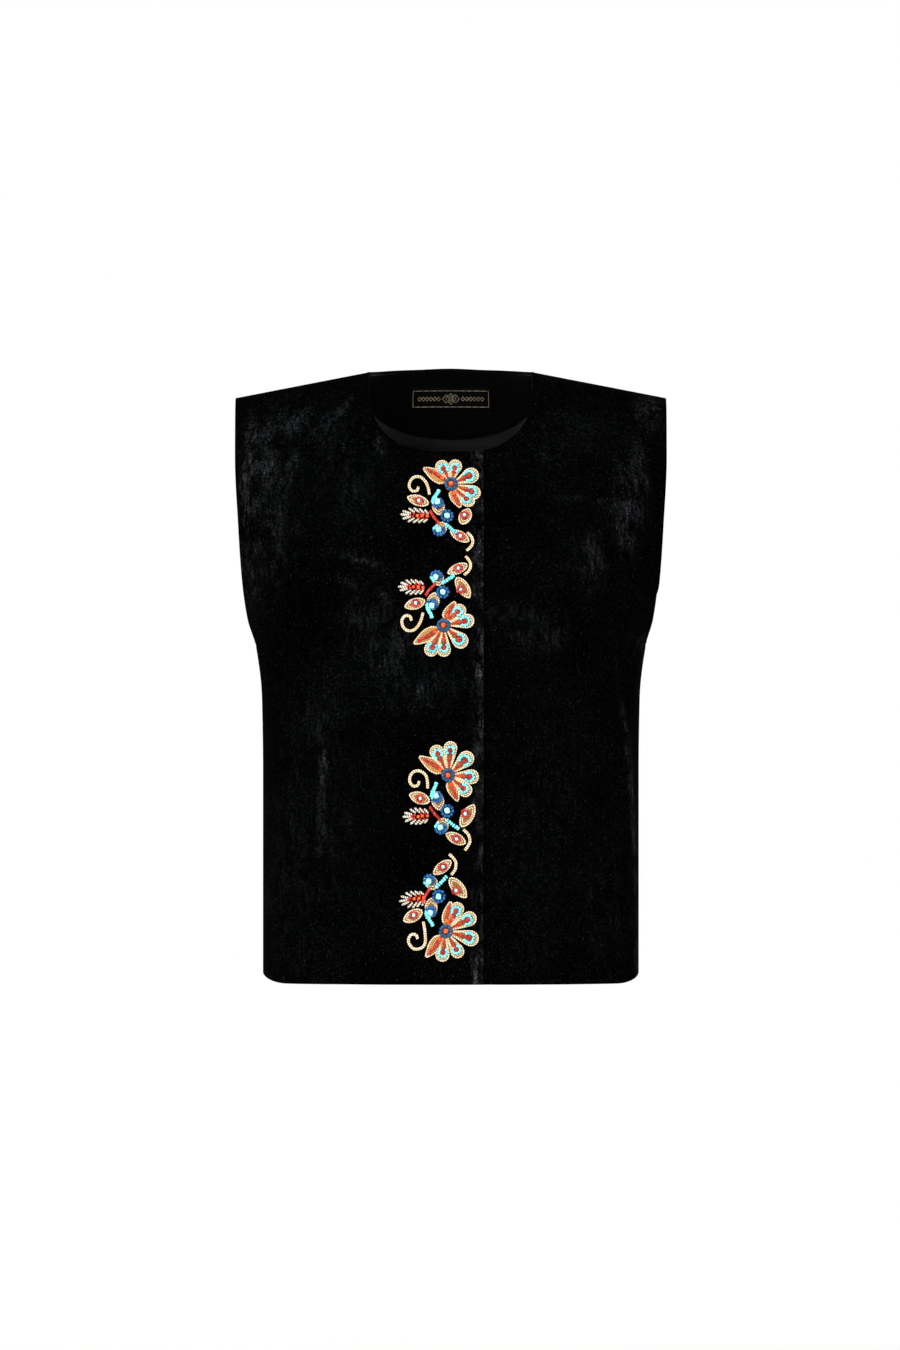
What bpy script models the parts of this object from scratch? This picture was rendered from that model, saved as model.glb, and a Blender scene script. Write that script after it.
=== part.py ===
"""A hollow, sleeveless velvet vest with a lapped front, bead embroidery and a faced back neck.

Run it with: blender --background --python part.py
Metres, +Z up. The front faces -Y and +X is the wearer's left, which a viewer in front sees on the right.
Heights in the tables are measured up from the hem. The origin lies midway between the neck ends of the
two shoulder seams, where the wearer's shoulders carry the vest.

Every wall is a grid of points on one surface of the body. A point is named by across, its distance from
the centre line towards the side, and by its height. A horizontal section is a superellipse, and above the
chest the sections roll inwards to the ridge where front and back meet in the shoulder seam.
"""

import math
from collections import namedtuple

import bmesh
import bpy
import numpy as np

# Heights above the hem
NECK_POINT_HEIGHT = 0.5795
BACK_NECK_HEIGHT = 0.5843
SHOULDER_TIP_HEIGHT = 0.5550
UNDERARM_HEIGHT = 0.3180
ARMHOLE_WIDEST_HEIGHT = 0.4300
ROLL_START_HEIGHT = 0.4500

# Half widths, from the centre line
SHOULDER_HALF_WIDTH = 0.2047
NECK_HALF_WIDTH = 0.0785
FRONT_NECK_DROP = 0.0765

# How far the armhole's edges stand before and behind the side seam
FRONT_ARMHOLE_REACH = 0.055
BACK_ARMHOLE_REACH = 0.050
ARMHOLE_POWER = 0.58
ARMHOLE_GAPE = 0.0050
ARMHOLE_GAPE_LENGTH = 0.060

# Roundness of the sections, of the neckline and of the roll over the shoulder
SECTION_POWER = 2.35
NECK_POWER = 2.8
ROLL_POWER = 2.4
NECK_RISE = 0.042

# Hem corners, rounded up towards the side seams
HEM_RISE = 0.0080
HEM_RISE_FADE = 0.0800

# Cloth
WALL = 0.0022
LINING = 0.0010
SEAM_GAP = 0.0003

# Lapped front: where the upper and the lower front end, across the centre line
UPPER_EDGE_X = 0.0310
LOWER_EDGE_X = -0.0140
LAP_STEP = 0.0028
LAP_FADE = 0.0250

# Woven label inside the back neck
LABEL_WIDTH = 0.0820
LABEL_HEIGHT = 0.0210
LABEL_CENTRE_HEIGHT = 0.5560
LABEL_THICKNESS = 0.0006
LABEL_GAP = 0.0006

# Embroidery
PAD_GAP = 0.0003
PAD_RIM = 0.0012
PAD_CROWN = 0.0022
WIRE_RADIUS = 0.0014

Section = namedtuple("Section", "height half_width front_depth back_depth")
SECTIONS = (
    Section(height=0.000, half_width=0.1785, front_depth=0.112, back_depth=0.098),
    Section(height=0.100, half_width=0.1785, front_depth=0.113, back_depth=0.098),
    Section(height=0.200, half_width=0.1785, front_depth=0.116, back_depth=0.100),
    Section(height=0.270, half_width=0.1795, front_depth=0.119, back_depth=0.103),
    Section(height=0.318, half_width=0.1850, front_depth=0.120, back_depth=0.105),
    Section(height=0.345, half_width=0.1930, front_depth=0.119, back_depth=0.106),
    Section(height=0.380, half_width=0.1980, front_depth=0.115, back_depth=0.107),
    Section(height=0.430, half_width=0.2015, front_depth=0.106, back_depth=0.107),
    Section(height=0.500, half_width=0.2047, front_depth=0.086, back_depth=0.101),
    Section(height=0.585, half_width=0.2047, front_depth=0.064, back_depth=0.090),
)

# Soft folds. Each runs from a top point to a bottom point, and a negative depth is a trough.
Fold = namedtuple("Fold", "top_x top_height bottom_x bottom_height width depth")
FRONT_FOLDS = (
    Fold(top_x=-0.120, top_height=0.270, bottom_x=-0.135, bottom_height=0.030, width=0.016, depth=0.0040),
    Fold(top_x=-0.088, top_height=0.250, bottom_x=-0.100, bottom_height=0.010, width=0.020, depth=-0.0030),
    Fold(top_x=-0.150, top_height=0.420, bottom_x=-0.060, bottom_height=0.250, width=0.018, depth=0.0026),
    Fold(top_x=-0.165, top_height=0.530, bottom_x=-0.172, bottom_height=0.370, width=0.014, depth=-0.0030),
    Fold(top_x=0.160, top_height=0.270, bottom_x=0.172, bottom_height=0.090, width=0.013, depth=0.0045),
    Fold(top_x=0.140, top_height=0.260, bottom_x=0.150, bottom_height=0.030, width=0.017, depth=-0.0032),
    Fold(top_x=0.095, top_height=0.200, bottom_x=0.105, bottom_height=0.000, width=0.022, depth=0.0026),
    Fold(top_x=0.165, top_height=0.520, bottom_x=0.172, bottom_height=0.370, width=0.015, depth=0.0030),
    Fold(top_x=0.150, top_height=0.400, bottom_x=0.080, bottom_height=0.270, width=0.018, depth=-0.0024),
)
BACK_FOLDS = (
    Fold(top_x=-0.130, top_height=0.300, bottom_x=-0.140, bottom_height=0.020, width=0.018, depth=0.0040),
    Fold(top_x=-0.070, top_height=0.240, bottom_x=-0.078, bottom_height=0.000, width=0.022, depth=-0.0034),
    Fold(top_x=0.012, top_height=0.200, bottom_x=0.018, bottom_height=0.000, width=0.024, depth=0.0030),
    Fold(top_x=0.085, top_height=0.260, bottom_x=0.090, bottom_height=0.010, width=0.020, depth=-0.0032),
    Fold(top_x=0.140, top_height=0.320, bottom_x=0.148, bottom_height=0.040, width=0.016, depth=0.0040),
    Fold(top_x=-0.150, top_height=0.480, bottom_x=-0.110, bottom_height=0.330, width=0.018, depth=-0.0026),
    Fold(top_x=0.155, top_height=0.470, bottom_x=0.115, bottom_height=0.340, width=0.018, depth=-0.0026),
)

# One embroidered spray, drawn in millimetres about its flower, with the stem running down.
Spray = namedtuple("Spray", "name x height turn way stem_scale")
SPRAYS = (
    Spray(name="spray_1", x=0.0002, height=0.4710, turn=-6.0, way=1, stem_scale=0.88),
    Spray(name="spray_2", x=-0.0069, height=0.3383, turn=0.0, way=-1, stem_scale=0.91),
    Spray(name="spray_3", x=-0.0026, height=0.1975, turn=0.0, way=1, stem_scale=1.00),
    Spray(name="spray_4", x=-0.0048, height=0.0506, turn=-10.0, way=-1, stem_scale=1.00),
)

# The petals of each flower: five round ones and then two pointed ones, each at its own angle and reach.
PETAL_WIDTHS = (13.5, 13.0, 15.0, 14.0, 13.5, 12.5, 11.5)
ROUND_PETALS = 5
Petal = namedtuple("Petal", "angle reach width pointed")
Flower = namedtuple("Flower", "angles reaches")
FLOWERS = {
    "spray_1": Flower(angles=(123, 83, 30, -15, -40, 155, -65), reaches=(25.0, 24.0, 28.0, 29.5, 29.5, 31.5, 26.5)),
    "spray_2": Flower(angles=(117, 89, 42, -11, -45, 148, -66), reaches=(32.0, 29.5, 29.0, 29.3, 27.5, 34.0, 27.5)),
    "spray_3": Flower(angles=(116, 85, 42, -4, -41, 147, -70), reaches=(31.0, 32.0, 30.5, 29.0, 28.0, 33.5, 27.5)),
    "spray_4": Flower(angles=(108, 70, 26, -18, -53, 137, -71), reaches=(29.0, 28.5, 32.0, 32.0, 30.0, 32.0, 29.5)),
}
FLOWER_EYE_RADIUS = 7.0
Leaf = namedtuple("Leaf", "name x y angle length width")
LEAVES = (
    Leaf(name="leaf_left", x=-27.0, y=-21.4, angle=161, length=20.5, width=11.5),
    Leaf(name="leaf_right", x=18.5, y=-38.0, angle=60, length=24.5, width=12.0),
    Leaf(name="leaf_low", x=7.0, y=-59.5, angle=153, length=21.0, width=10.5),
)
Medallion = namedtuple("Medallion", "name x y radius")
MEDALLIONS = (
    Medallion(name="medallion_upper", x=-10.6, y=-20.6, radius=6.0),
    Medallion(name="medallion_middle", x=-0.7, y=-33.5, radius=6.6),
    Medallion(name="medallion_lower", x=-6.6, y=-50.0, radius=6.2),
)
EAR_X, EAR_Y, EAR_ANGLE, EAR_LENGTH, EAR_WIDTH, EAR_BARBS = -27.8, -38.6, 182, 24.5, 13.5, 6

# Where the hand sewing sets a motif of one spray apart from the others: moved, turned, or of another length.
Shift = namedtuple("Shift", "x y angle stretch")
SHIFTS = {
    ("spray_1", "tendril"): Shift(x=-3.0, y=0.0, angle=0, stretch=1.0),
    ("spray_1", "leaf_left"): Shift(x=-2.5, y=1.5, angle=5, stretch=1.05),
    ("spray_1", "leaf_right"): Shift(x=-2.0, y=6.5, angle=12, stretch=0.75),
    ("spray_1", "leaf_low"): Shift(x=6.0, y=6.5, angle=0, stretch=1.0),
    ("spray_1", "ear"): Shift(x=-0.5, y=2.5, angle=0, stretch=1.1),
    ("spray_1", "tail"): Shift(x=5.5, y=3.0, angle=0, stretch=1.0),
    ("spray_2", "tendril"): Shift(x=-3.0, y=1.0, angle=0, stretch=1.0),
    ("spray_2", "leaf_low"): Shift(x=6.0, y=2.0, angle=0, stretch=1.0),
    ("spray_2", "tail"): Shift(x=5.0, y=0.0, angle=0, stretch=1.0),
    ("spray_4", "ear"): Shift(x=4.5, y=4.0, angle=0, stretch=1.0),
    ("spray_4", "leaf_left"): Shift(x=-1.0, y=2.0, angle=0, stretch=1.0),
    ("spray_4", "tendril"): Shift(x=0.0, y=8.0, angle=0, stretch=1.0),
}
NO_SHIFT = Shift(x=0.0, y=0.0, angle=0, stretch=1.0)
SHIFT_POINTS = 2.0
TENDRIL = ((-19.2, -12.5), (-19.4, -6.0), (-21.2, 0.0), (-26.1, 3.8), (-31.8, 3.4),
           (-35.4, -0.8), (-35.9, -6.2), (-32.6, -10.3), (-28.4, -9.4), (-27.2, -5.4))
TAIL = ((14.3, -51.2), (19.0, -56.0), (20.5, -62.2), (18.6, -67.0), (15.7, -70.8))

# Grid lines. Shares run from 0 to 1, and each last step is short so that seam edges stand square.
ROWS_BELOW_ARMHOLE = 8
ROWS_BESIDE_ARMHOLE = 6
HEM_ROW = 0.012
ROLL_SHARES = (0.15, 0.30, 0.45, 0.58, 0.70, 0.82, 0.92, 0.985, 1.0)
FACING_ROLL_ROW = 2
FRONT_NECK_COLUMNS = 9
BACK_NECK_COLUMNS = 7
SHOULDER_COLUMNS = 8
FACING_SHOULDER_COLUMNS = 3
SEAM_ANGLE = 89.3

COLOURS = {
    "velvet": (0.004, 0.004, 0.005, 0.95, 0.0),
    "lining": (0.012, 0.012, 0.013, 0.45, 0.0),
    "facing": (0.006, 0.006, 0.006, 0.80, 0.0),
    "label": (0.010, 0.010, 0.010, 0.60, 0.0),
    "gold": (0.80, 0.56, 0.26, 0.35, 1.0),
    "blue_beads": (0.01, 0.13, 0.42, 0.15, 0.0),
    "silver": (0.85, 0.80, 0.70, 0.30, 1.0),
}


def curve_through(column, height):
    """A section value at any height: a cubic through the table's rows that never overshoots them."""
    knots = np.array([row.height for row in SECTIONS])
    values = np.array([getattr(row, column) for row in SECTIONS])
    rises = np.diff(values) / np.diff(knots)
    before, after = rises[:-1], rises[1:]
    same_way = before * after > 0
    slopes = np.zeros_like(values)
    slopes[1:-1] = np.where(same_way, 2 * before * after / np.where(same_way, before + after, 1.0), 0.0)
    height = np.clip(height, knots[0], knots[-1])
    i = np.clip(np.searchsorted(knots, height) - 1, 0, len(knots) - 2)
    span = knots[i + 1] - knots[i]
    t = (height - knots[i]) / span
    return (
        values[i] * (2 * t**3 - 3 * t**2 + 1)
        + values[i + 1] * (3 * t**2 - 2 * t**3)
        + span * (slopes[i] * (t**3 - 2 * t**2 + t) + slopes[i + 1] * (t**3 - t**2))
    )


def smooth_step(value, low, high):
    """0 below low, 1 above high, and an even S between them."""
    t = np.clip((value - low) / (high - low), 0.0, 1.0)
    return t * t * (3 - 2 * t)


def ridge_height(across):
    """Height of the shoulder ridge, which inside the neckline is only a guide that rises to the neck."""
    away = np.abs(across)
    share = (away - NECK_HALF_WIDTH) / (SHOULDER_HALF_WIDTH - NECK_HALF_WIDTH)
    shoulder = NECK_POINT_HEIGHT + (SHOULDER_TIP_HEIGHT - NECK_POINT_HEIGHT) * np.maximum(share, 0.0)
    inside = np.clip(1 - (away / NECK_HALF_WIDTH) ** 2, 0.0, 1.0)
    return shoulder + NECK_RISE * inside**1.5


def armhole_reach(height, reach):
    """Distance of the armhole's edge from the side seam's plane: a rounded arch up to its widest height."""
    t = np.clip((ARMHOLE_WIDEST_HEIGHT - height) / (ARMHOLE_WIDEST_HEIGHT - UNDERARM_HEIGHT), 0.0, 1.0)
    return reach * (1 - t * t) ** ARMHOLE_POWER


def edge_across(height, gape=0.0):
    """Half width at a height: the side seam, or the armhole's edge. A gape draws the edge in above the underarm."""
    t = np.clip((height - UNDERARM_HEIGHT) / ARMHOLE_GAPE_LENGTH, 0.0, 1.0)
    return curve_through("half_width", height) - gape * np.sin(math.pi * t) ** 2


def depth_at(across, height, front):
    """How far the body stands before (front) or behind the side seam's plane, folds left out."""
    depth = curve_through("front_depth" if front else "back_depth", height)
    reach = armhole_reach(height, FRONT_ARMHOLE_REACH if front else BACK_ARMHOLE_REACH)
    whole = edge_across(height) / (1 - (reach / depth) ** SECTION_POWER) ** (1 / SECTION_POWER)
    inside = np.clip(np.abs(across) / whole, 0.0, 1.0)
    ring = depth * (1 - inside**SECTION_POWER) ** (1 / SECTION_POWER)
    rise = (height - ROLL_START_HEIGHT) / (ridge_height(across) - ROLL_START_HEIGHT)
    return ring * np.sqrt(1 - np.clip(rise, 0.0, 1.0) ** ROLL_POWER)


def fold_depth(x, height, folds):
    """How far the folds lift the cloth: a bell across each fold that fades towards both of its ends."""
    lift = np.zeros_like(x)
    for fold in folds:
        t = (fold.top_height - height) / (fold.top_height - fold.bottom_height)
        middle = fold.top_x + (fold.bottom_x - fold.top_x) * t
        reaches_hem = fold.bottom_height < 0.02
        fade = smooth_step(t, -0.1, 0.35) * (1.0 if reaches_hem else 1 - smooth_step(t, 0.65, 1.1))
        lift += fold.depth * fade * np.exp(-(((x - middle) / fold.width) ** 2))
    return lift


def base_point(x, height, front):
    """Points of the outer face without folds, in the part's frame."""
    depth = depth_at(x, height, front) + SEAM_GAP / 2
    return np.stack([x, -depth if front else depth, height - NECK_POINT_HEIGHT], axis=-1)


def front_surface(x, height, lift):
    """Points on the front's outer face, moved out along its normal by lift."""
    step = 0.0005
    along_x = base_point(x + step, height, True) - base_point(x - step, height, True)
    along_height = base_point(x, height + step, True) - base_point(x, height - step, True)
    normal = np.cross(along_x, along_height)
    normal /= np.linalg.norm(normal, axis=-1, keepdims=True)
    out = fold_depth(x, height, FRONT_FOLDS) + lift
    return base_point(x, height, True) + normal * out[..., None]


def grid_normals(points):
    """Unit normals of a grid of points, from the steps to the neighbours along both of its directions."""
    normal = np.cross(np.gradient(points, axis=0), np.gradient(points, axis=1))
    return normal / np.linalg.norm(normal, axis=-1, keepdims=True)


def top_edge(neck_columns, start, front):
    """(across, height) of a half panel's top edge: the neckline from start to the neck point, then the shoulder."""
    power = 2 / NECK_POWER
    first = math.copysign(math.asin(abs(start / NECK_HALF_WIDTH) ** (1 / power)), start)
    turn = np.linspace(first, math.pi / 2, neck_columns + 1)
    neck_across = NECK_HALF_WIDTH * np.sign(turn) * np.abs(np.sin(turn)) ** power
    if front:
        neck_height = NECK_POINT_HEIGHT - FRONT_NECK_DROP * np.abs(np.cos(turn)) ** power
    else:
        drop = (BACK_NECK_HEIGHT - NECK_POINT_HEIGHT) * (neck_across / NECK_HALF_WIDTH) ** 2
        neck_height = BACK_NECK_HEIGHT - drop
    shares = np.append(np.linspace(0, 1, SHOULDER_COLUMNS + 1)[1:-1], (0.99, 1.0))
    shoulder_across = NECK_HALF_WIDTH + (SHOULDER_HALF_WIDTH - NECK_HALF_WIDTH) * shares
    across = np.append(neck_across, shoulder_across)
    height = np.append(neck_height, ridge_height(shoulder_across))
    return across, height


def row_heights(across_top, height_top):
    """Heights of the grid, a row for each column: level rows to the chest, then rows that fan out over the roll."""
    below = np.linspace(HEM_ROW, UNDERARM_HEIGHT, ROWS_BELOW_ARMHOLE + 1)
    turn = np.linspace(0, math.pi / 2, ROWS_BESIDE_ARMHOLE + 1)[1:]
    beside = UNDERARM_HEIGHT + (ROLL_START_HEIGHT - UNDERARM_HEIGHT) * (1 - np.cos(turn))
    level = np.concatenate([[0.0], below, beside])
    roll = ridge_height(across_top) - ROLL_START_HEIGHT
    last = np.arcsin(np.clip((height_top - ROLL_START_HEIGHT) / roll, 0.0, 1.0))
    fan = ROLL_START_HEIGHT + roll[:, None] * np.sin(last[:, None] * np.array(ROLL_SHARES))
    return np.hstack([np.tile(level, (len(across_top), 1)), fan])


def half_panel_grid(neck_columns, start, front, gape=0.0):
    """(across, height) of every grid point of a half panel, from its centre edge to the side."""
    across_top, height_top = top_edge(neck_columns, start, front)
    height = row_heights(across_top, height_top)
    first = math.asin(start / SECTIONS[0].half_width)
    columns = len(across_top)
    turn = np.append(np.linspace(first, math.pi / 2, columns - 1)[:-1], np.radians((SEAM_ANGLE, 90.0)))
    low_share = (np.sin(turn) - math.sin(first)) / (1 - math.sin(first))
    high_share = (across_top - start) / (SHOULDER_HALF_WIDTH - start)
    blend = smooth_step(height, 0.25, height_top[:, None])
    share = low_share[:, None] * (1 - blend) + high_share[:, None] * blend
    across = start + (edge_across(height, gape) - start) * share
    corner = HEM_RISE * smooth_step(low_share, 0.93, 1.0)[:, None]
    return across, height + corner * np.clip(1 - height / HEM_RISE_FADE, 0.0, 1.0)


def folded(points, x, height, folds):
    """The grid with its folds, which die out at the side seams and armholes so that the panels still meet."""
    away = np.abs(x) / edge_across(height)
    top = (ridge_height(x) - height) / 0.03
    hold = (1 - smooth_step(away, 0.90, 0.995)) * np.clip(top, 0.0, 1.0)
    return points + grid_normals(points) * (fold_depth(x, height, folds) * hold)[..., None]


def material(name):
    """A Principled material for one of the vest's finishes."""
    found = bpy.data.materials.get(name)
    if found:
        return found
    red, green, blue, roughness, metallic = COLOURS[name]
    made = bpy.data.materials.new(name)
    made.use_nodes = True
    shader = made.node_tree.nodes["Principled BSDF"]
    shader.inputs["Base Color"].default_value = (red, green, blue, 1.0)
    shader.inputs["Roughness"].default_value = roughness
    shader.inputs["Metallic"].default_value = metallic
    made.diffuse_color = (red, green, blue, 1.0)
    return made


def add_object(name, mesh, finish, collection):
    """Puts a mesh into the vest's collection as one named piece."""
    mesh.materials.append(material(finish))
    piece = bpy.data.objects.new(name, mesh)
    collection.objects.link(piece)
    return piece


def add_wall(name, points, thickness, finish, collection):
    """A piece of cloth: an open grid of outer points, thickened inwards."""
    columns, rows = points.shape[:2]
    faces = []
    for i in range(columns - 1):
        for k in range(rows - 1):
            corner = i * rows + k
            faces.append((corner, corner + rows, corner + rows + 1, corner + 1))
    mesh = bpy.data.meshes.new(name)
    mesh.from_pydata(points.reshape(-1, 3).tolist(), [], faces)
    mesh.shade_smooth()
    piece = add_object(name, mesh, finish, collection)
    solidify = piece.modifiers.new("Thickness", "SOLIDIFY")
    solidify.thickness = thickness
    solidify.offset = -1.0
    return piece


def inner_offset(points, distance):
    """The grid moved inwards, along the same averaged face normals that Solidify uses."""
    a = points[1:, :-1] - points[:-1, 1:]
    b = points[1:, 1:] - points[:-1, :-1]
    face = np.cross(a, b)
    face /= np.linalg.norm(face, axis=-1, keepdims=True)
    total = np.zeros_like(points)
    for i in (0, 1):
        for k in (0, 1):
            total[i : total.shape[0] - 1 + i, k : total.shape[1] - 1 + k] += face
    normal = total / np.linalg.norm(total, axis=-1, keepdims=True)
    return points - normal * distance


def points_on_grid(points, columns, rows):
    """Points of a grid at given x (falling) and z, found along its columns and then across them."""
    along = [np.stack([np.interp(rows, line[:, 2], line[:, axis]) for line in points]) for axis in (0, 1)]
    depth = [np.interp(-columns, -along[0][:, k], along[1][:, k]) for k in range(len(rows))]
    x, z = np.meshgrid(columns, rows, indexing="ij")
    return np.stack([x, np.array(depth).T, z], axis=-1)


def front_panel(side, start_x, gape):
    """Outer points of one front. side is -1 for the wearer's right front and 1 for the left one."""
    across, height = half_panel_grid(FRONT_NECK_COLUMNS, start_x * side, True, gape)
    x = across * side
    points = base_point(x, height, True)
    if side < 0:
        points, x, height = points[::-1], x[::-1], height[::-1]
    points = folded(points, x, height, FRONT_FOLDS)
    if side > 0:
        under = 1 - smooth_step(x, UPPER_EDGE_X + 0.002, UPPER_EDGE_X + LAP_FADE)
        points = points - grid_normals(points) * (LAP_STEP * under)[..., None]
    return points


def back_panel():
    """Outer points of the back, from the wearer's left side to the right one, and the column at each neck point."""
    across, height = half_panel_grid(BACK_NECK_COLUMNS, 0.0, False)
    x = np.concatenate([across[::-1], -across[1:]])
    height = np.concatenate([height[::-1], height[1:]])
    points = base_point(x, height, False)
    return folded(points, x, height, BACK_FOLDS)


def back_pieces(collection):
    """The back, its lining, the facing over the lining at the neck, and the label on the facing."""
    outer = back_panel()
    add_wall("back", outer, WALL, "velvet", collection)

    lining = inner_offset(outer, WALL + SEAM_GAP)[2:-2, 1:]
    add_wall("back_lining", lining, LINING, "lining", collection)

    middle = outer.shape[0] // 2
    reach = BACK_NECK_COLUMNS + FACING_SHOULDER_COLUMNS
    first_row = outer.shape[1] - len(ROLL_SHARES) + FACING_ROLL_ROW
    inside = inner_offset(outer, WALL + LINING + 2 * SEAM_GAP)
    facing = inside[middle - reach : middle + reach + 1, first_row:]
    add_wall("back_neck_facing", facing, LINING, "facing", collection)

    face = inner_offset(outer, WALL + 2 * LINING + 2 * SEAM_GAP + LABEL_GAP)
    face = face[middle - reach : middle + reach + 1, first_row:]
    rows = LABEL_CENTRE_HEIGHT - NECK_POINT_HEIGHT + np.linspace(-LABEL_HEIGHT / 2, LABEL_HEIGHT / 2, 5)
    columns = np.linspace(LABEL_WIDTH / 2, -LABEL_WIDTH / 2, 13)
    add_wall("label", points_on_grid(face, columns, rows), LABEL_THICKNESS, "label", collection)


def spray_place(spray, x, y):
    """(x, height) on the vest of a point drawn in the spray's own millimetres."""
    turn = math.radians(spray.turn)
    stem = np.where(y < -FLOWER_EYE_RADIUS, spray.stem_scale, 1.0)
    y = np.where(y < -FLOWER_EYE_RADIUS, -FLOWER_EYE_RADIUS + (y + FLOWER_EYE_RADIUS) * stem, y)
    along = x * math.cos(turn) - y * math.sin(turn)
    up = x * math.sin(turn) + y * math.cos(turn)
    return spray.x + along / 1000, spray.height + spray.way * up / 1000


def petal_outline(petal, turn):
    """Distance from the eye to a petal's edge in each direction, and 0 where the direction misses it."""
    off = np.radians((np.degrees(turn) - petal.angle + 180) % 360 - 180)
    if petal.pointed:
        spread = math.atan2(petal.width / 2, petal.reach * 0.5)
        return petal.reach * np.clip(1 - (np.abs(off) / spread) ** 0.85, 0.0, 1.0)
    radius = petal.width / 2
    centre = petal.reach - radius
    inside = radius**2 - (centre * np.sin(off)) ** 2
    hits = (inside > 0) & (np.cos(off) > 0)
    return np.where(hits, centre * np.cos(off) + np.sqrt(np.maximum(inside, 0.0)), 0.0)


def petals_of(spray):
    """The petals of one spray's flower."""
    flower = FLOWERS[spray.name]
    pointed = np.arange(len(PETAL_WIDTHS)) >= ROUND_PETALS
    return [Petal(*row) for row in zip(flower.angles, flower.reaches, PETAL_WIDTHS, pointed)]


def flower_outline(spray):
    """Closed outline of the whole flower about its eye: the furthest petal edge in each direction."""
    turn = np.linspace(0, 2 * math.pi, 44, endpoint=False)
    reach = np.full_like(turn, FLOWER_EYE_RADIUS + 1.0)
    for petal in petals_of(spray):
        reach = np.maximum(reach, petal_outline(petal, turn))
    return reach * np.cos(turn), reach * np.sin(turn)


def shift_of(spray, piece):
    """How a motif of this spray differs from the others' one."""
    return SHIFTS.get((spray.name, piece), NO_SHIFT)


def shifted_route(spray, piece, route):
    """A wire's points, moved by its shift, which comes in over the first points so that the start stays put."""
    shift = shift_of(spray, piece)
    coming_in = piece == "tendril"
    share = [min(i / SHIFT_POINTS, 1.0) if coming_in else 1.0 for i in range(len(route))]
    return [(x + shift.x * part, y + shift.y * part) for (x, y), part in zip(route, share)]


def leaf_outline(leaf, shift, count=14):
    """Closed outline of a leaf: two bows between its base and its tip."""
    share = np.linspace(0, 2 * math.pi, count, endpoint=False)
    along = leaf.length / 2 * shift.stretch * np.cos(share)
    side = leaf.width / 2 * np.sin(share) * np.abs(np.sin(share)) ** 0.35
    turn = math.radians(leaf.angle + shift.angle)
    return along * math.cos(turn) - side * math.sin(turn), along * math.sin(turn) + side * math.cos(turn)


def ear_outline(shift):
    """Closed outline of the wheat ear: an oval whose edge steps out at each barb."""
    share = np.linspace(0, 2 * math.pi, 4 * EAR_BARBS, endpoint=False)
    barb = 1 + 0.10 * np.cos(2 * EAR_BARBS * share)
    along = EAR_LENGTH / 2 * shift.stretch * np.cos(share)
    side = EAR_WIDTH / 2 * np.sin(share) * barb
    turn = math.radians(EAR_ANGLE + shift.angle)
    return along * math.cos(turn) - side * math.sin(turn), along * math.sin(turn) + side * math.cos(turn)


def add_pad(name, spray, centre, outline, crown, finish, collection):
    """A low domed solid on the front. Rings of its outline, shrunk about the centre, are laid on the cloth."""
    wide = np.hypot(*outline).max() > 15
    floor_rings = ((0.45, PAD_GAP), (0.80, PAD_GAP)) if wide else ()
    top_rings = ((0.86, PAD_GAP + PAD_RIM), (0.45, PAD_GAP + crown * 0.9)) if wide else ((0.6, PAD_GAP + crown * 0.8),)
    rings = (*floor_rings, (1.0, PAD_GAP), (1.0, PAD_GAP + PAD_RIM * 0.6), *top_rings)
    mesh_maker = bmesh.new()
    loops = []
    for share, lift in rings:
        x, height = spray_place(spray, centre[0] + outline[0] * share, centre[1] + outline[1] * share)
        points = front_surface(x, height, np.full_like(x, lift))
        loops.append([mesh_maker.verts.new(point) for point in points])
    x, height = spray_place(spray, np.array([centre[0]]), np.array([centre[1]]))
    floor = mesh_maker.verts.new(front_surface(x, height, np.array([PAD_GAP]))[0])
    top = mesh_maker.verts.new(front_surface(x, height, np.array([PAD_GAP + crown]))[0])
    count = len(loops[0])
    for i in range(count):
        following = (i + 1) % count
        mesh_maker.faces.new((floor, loops[0][i], loops[0][following]))
        mesh_maker.faces.new((top, loops[-1][following], loops[-1][i]))
        for low, high in zip(loops, loops[1:]):
            mesh_maker.faces.new((low[i], high[i], high[following], low[following]))
    bmesh.ops.recalc_face_normals(mesh_maker, faces=mesh_maker.faces)
    mesh = bpy.data.meshes.new(name)
    mesh_maker.to_mesh(mesh)
    mesh_maker.free()
    mesh.shade_smooth()
    return add_object(name, mesh, finish, collection)


def smooth_route(points, count):
    """A smooth curve through hand-placed points, by cubic blends between them (Catmull-Rom)."""
    known = np.array(points, float)
    padded = np.vstack([2 * known[0] - known[1], known, 2 * known[-1] - known[-2]])
    at = np.linspace(0, len(known) - 1.000001, count)
    i = at.astype(int)
    t = (at - i)[:, None]
    before, here, ahead, after = (padded[i + k] for k in range(4))
    return 0.5 * (
        2 * here
        + (ahead - before) * t
        + (2 * before - 5 * here + 4 * ahead - after) * t**2
        + (3 * here - before - 3 * ahead + after) * t**3
    )


def add_wire(name, spray, route, count, finish, collection):
    """A couched metal wire on the front: a round tube along a smooth route."""
    line = smooth_route(route, count)
    x, height = spray_place(spray, line[:, 0], line[:, 1])
    points = front_surface(x, height, np.full_like(x, PAD_GAP + WIRE_RADIUS))
    curve = bpy.data.curves.new(name, "CURVE")
    curve.dimensions = "3D"
    curve.bevel_depth = WIRE_RADIUS
    curve.bevel_resolution = 1
    curve.use_fill_caps = True
    curve.materials.append(material(finish))
    spline = curve.splines.new("POLY")
    spline.points.add(len(points) - 1)
    for spline_point, point in zip(spline.points, points):
        spline_point.co = (*point, 1.0)
    piece = bpy.data.objects.new(name, curve)
    collection.objects.link(piece)
    return piece


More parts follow.
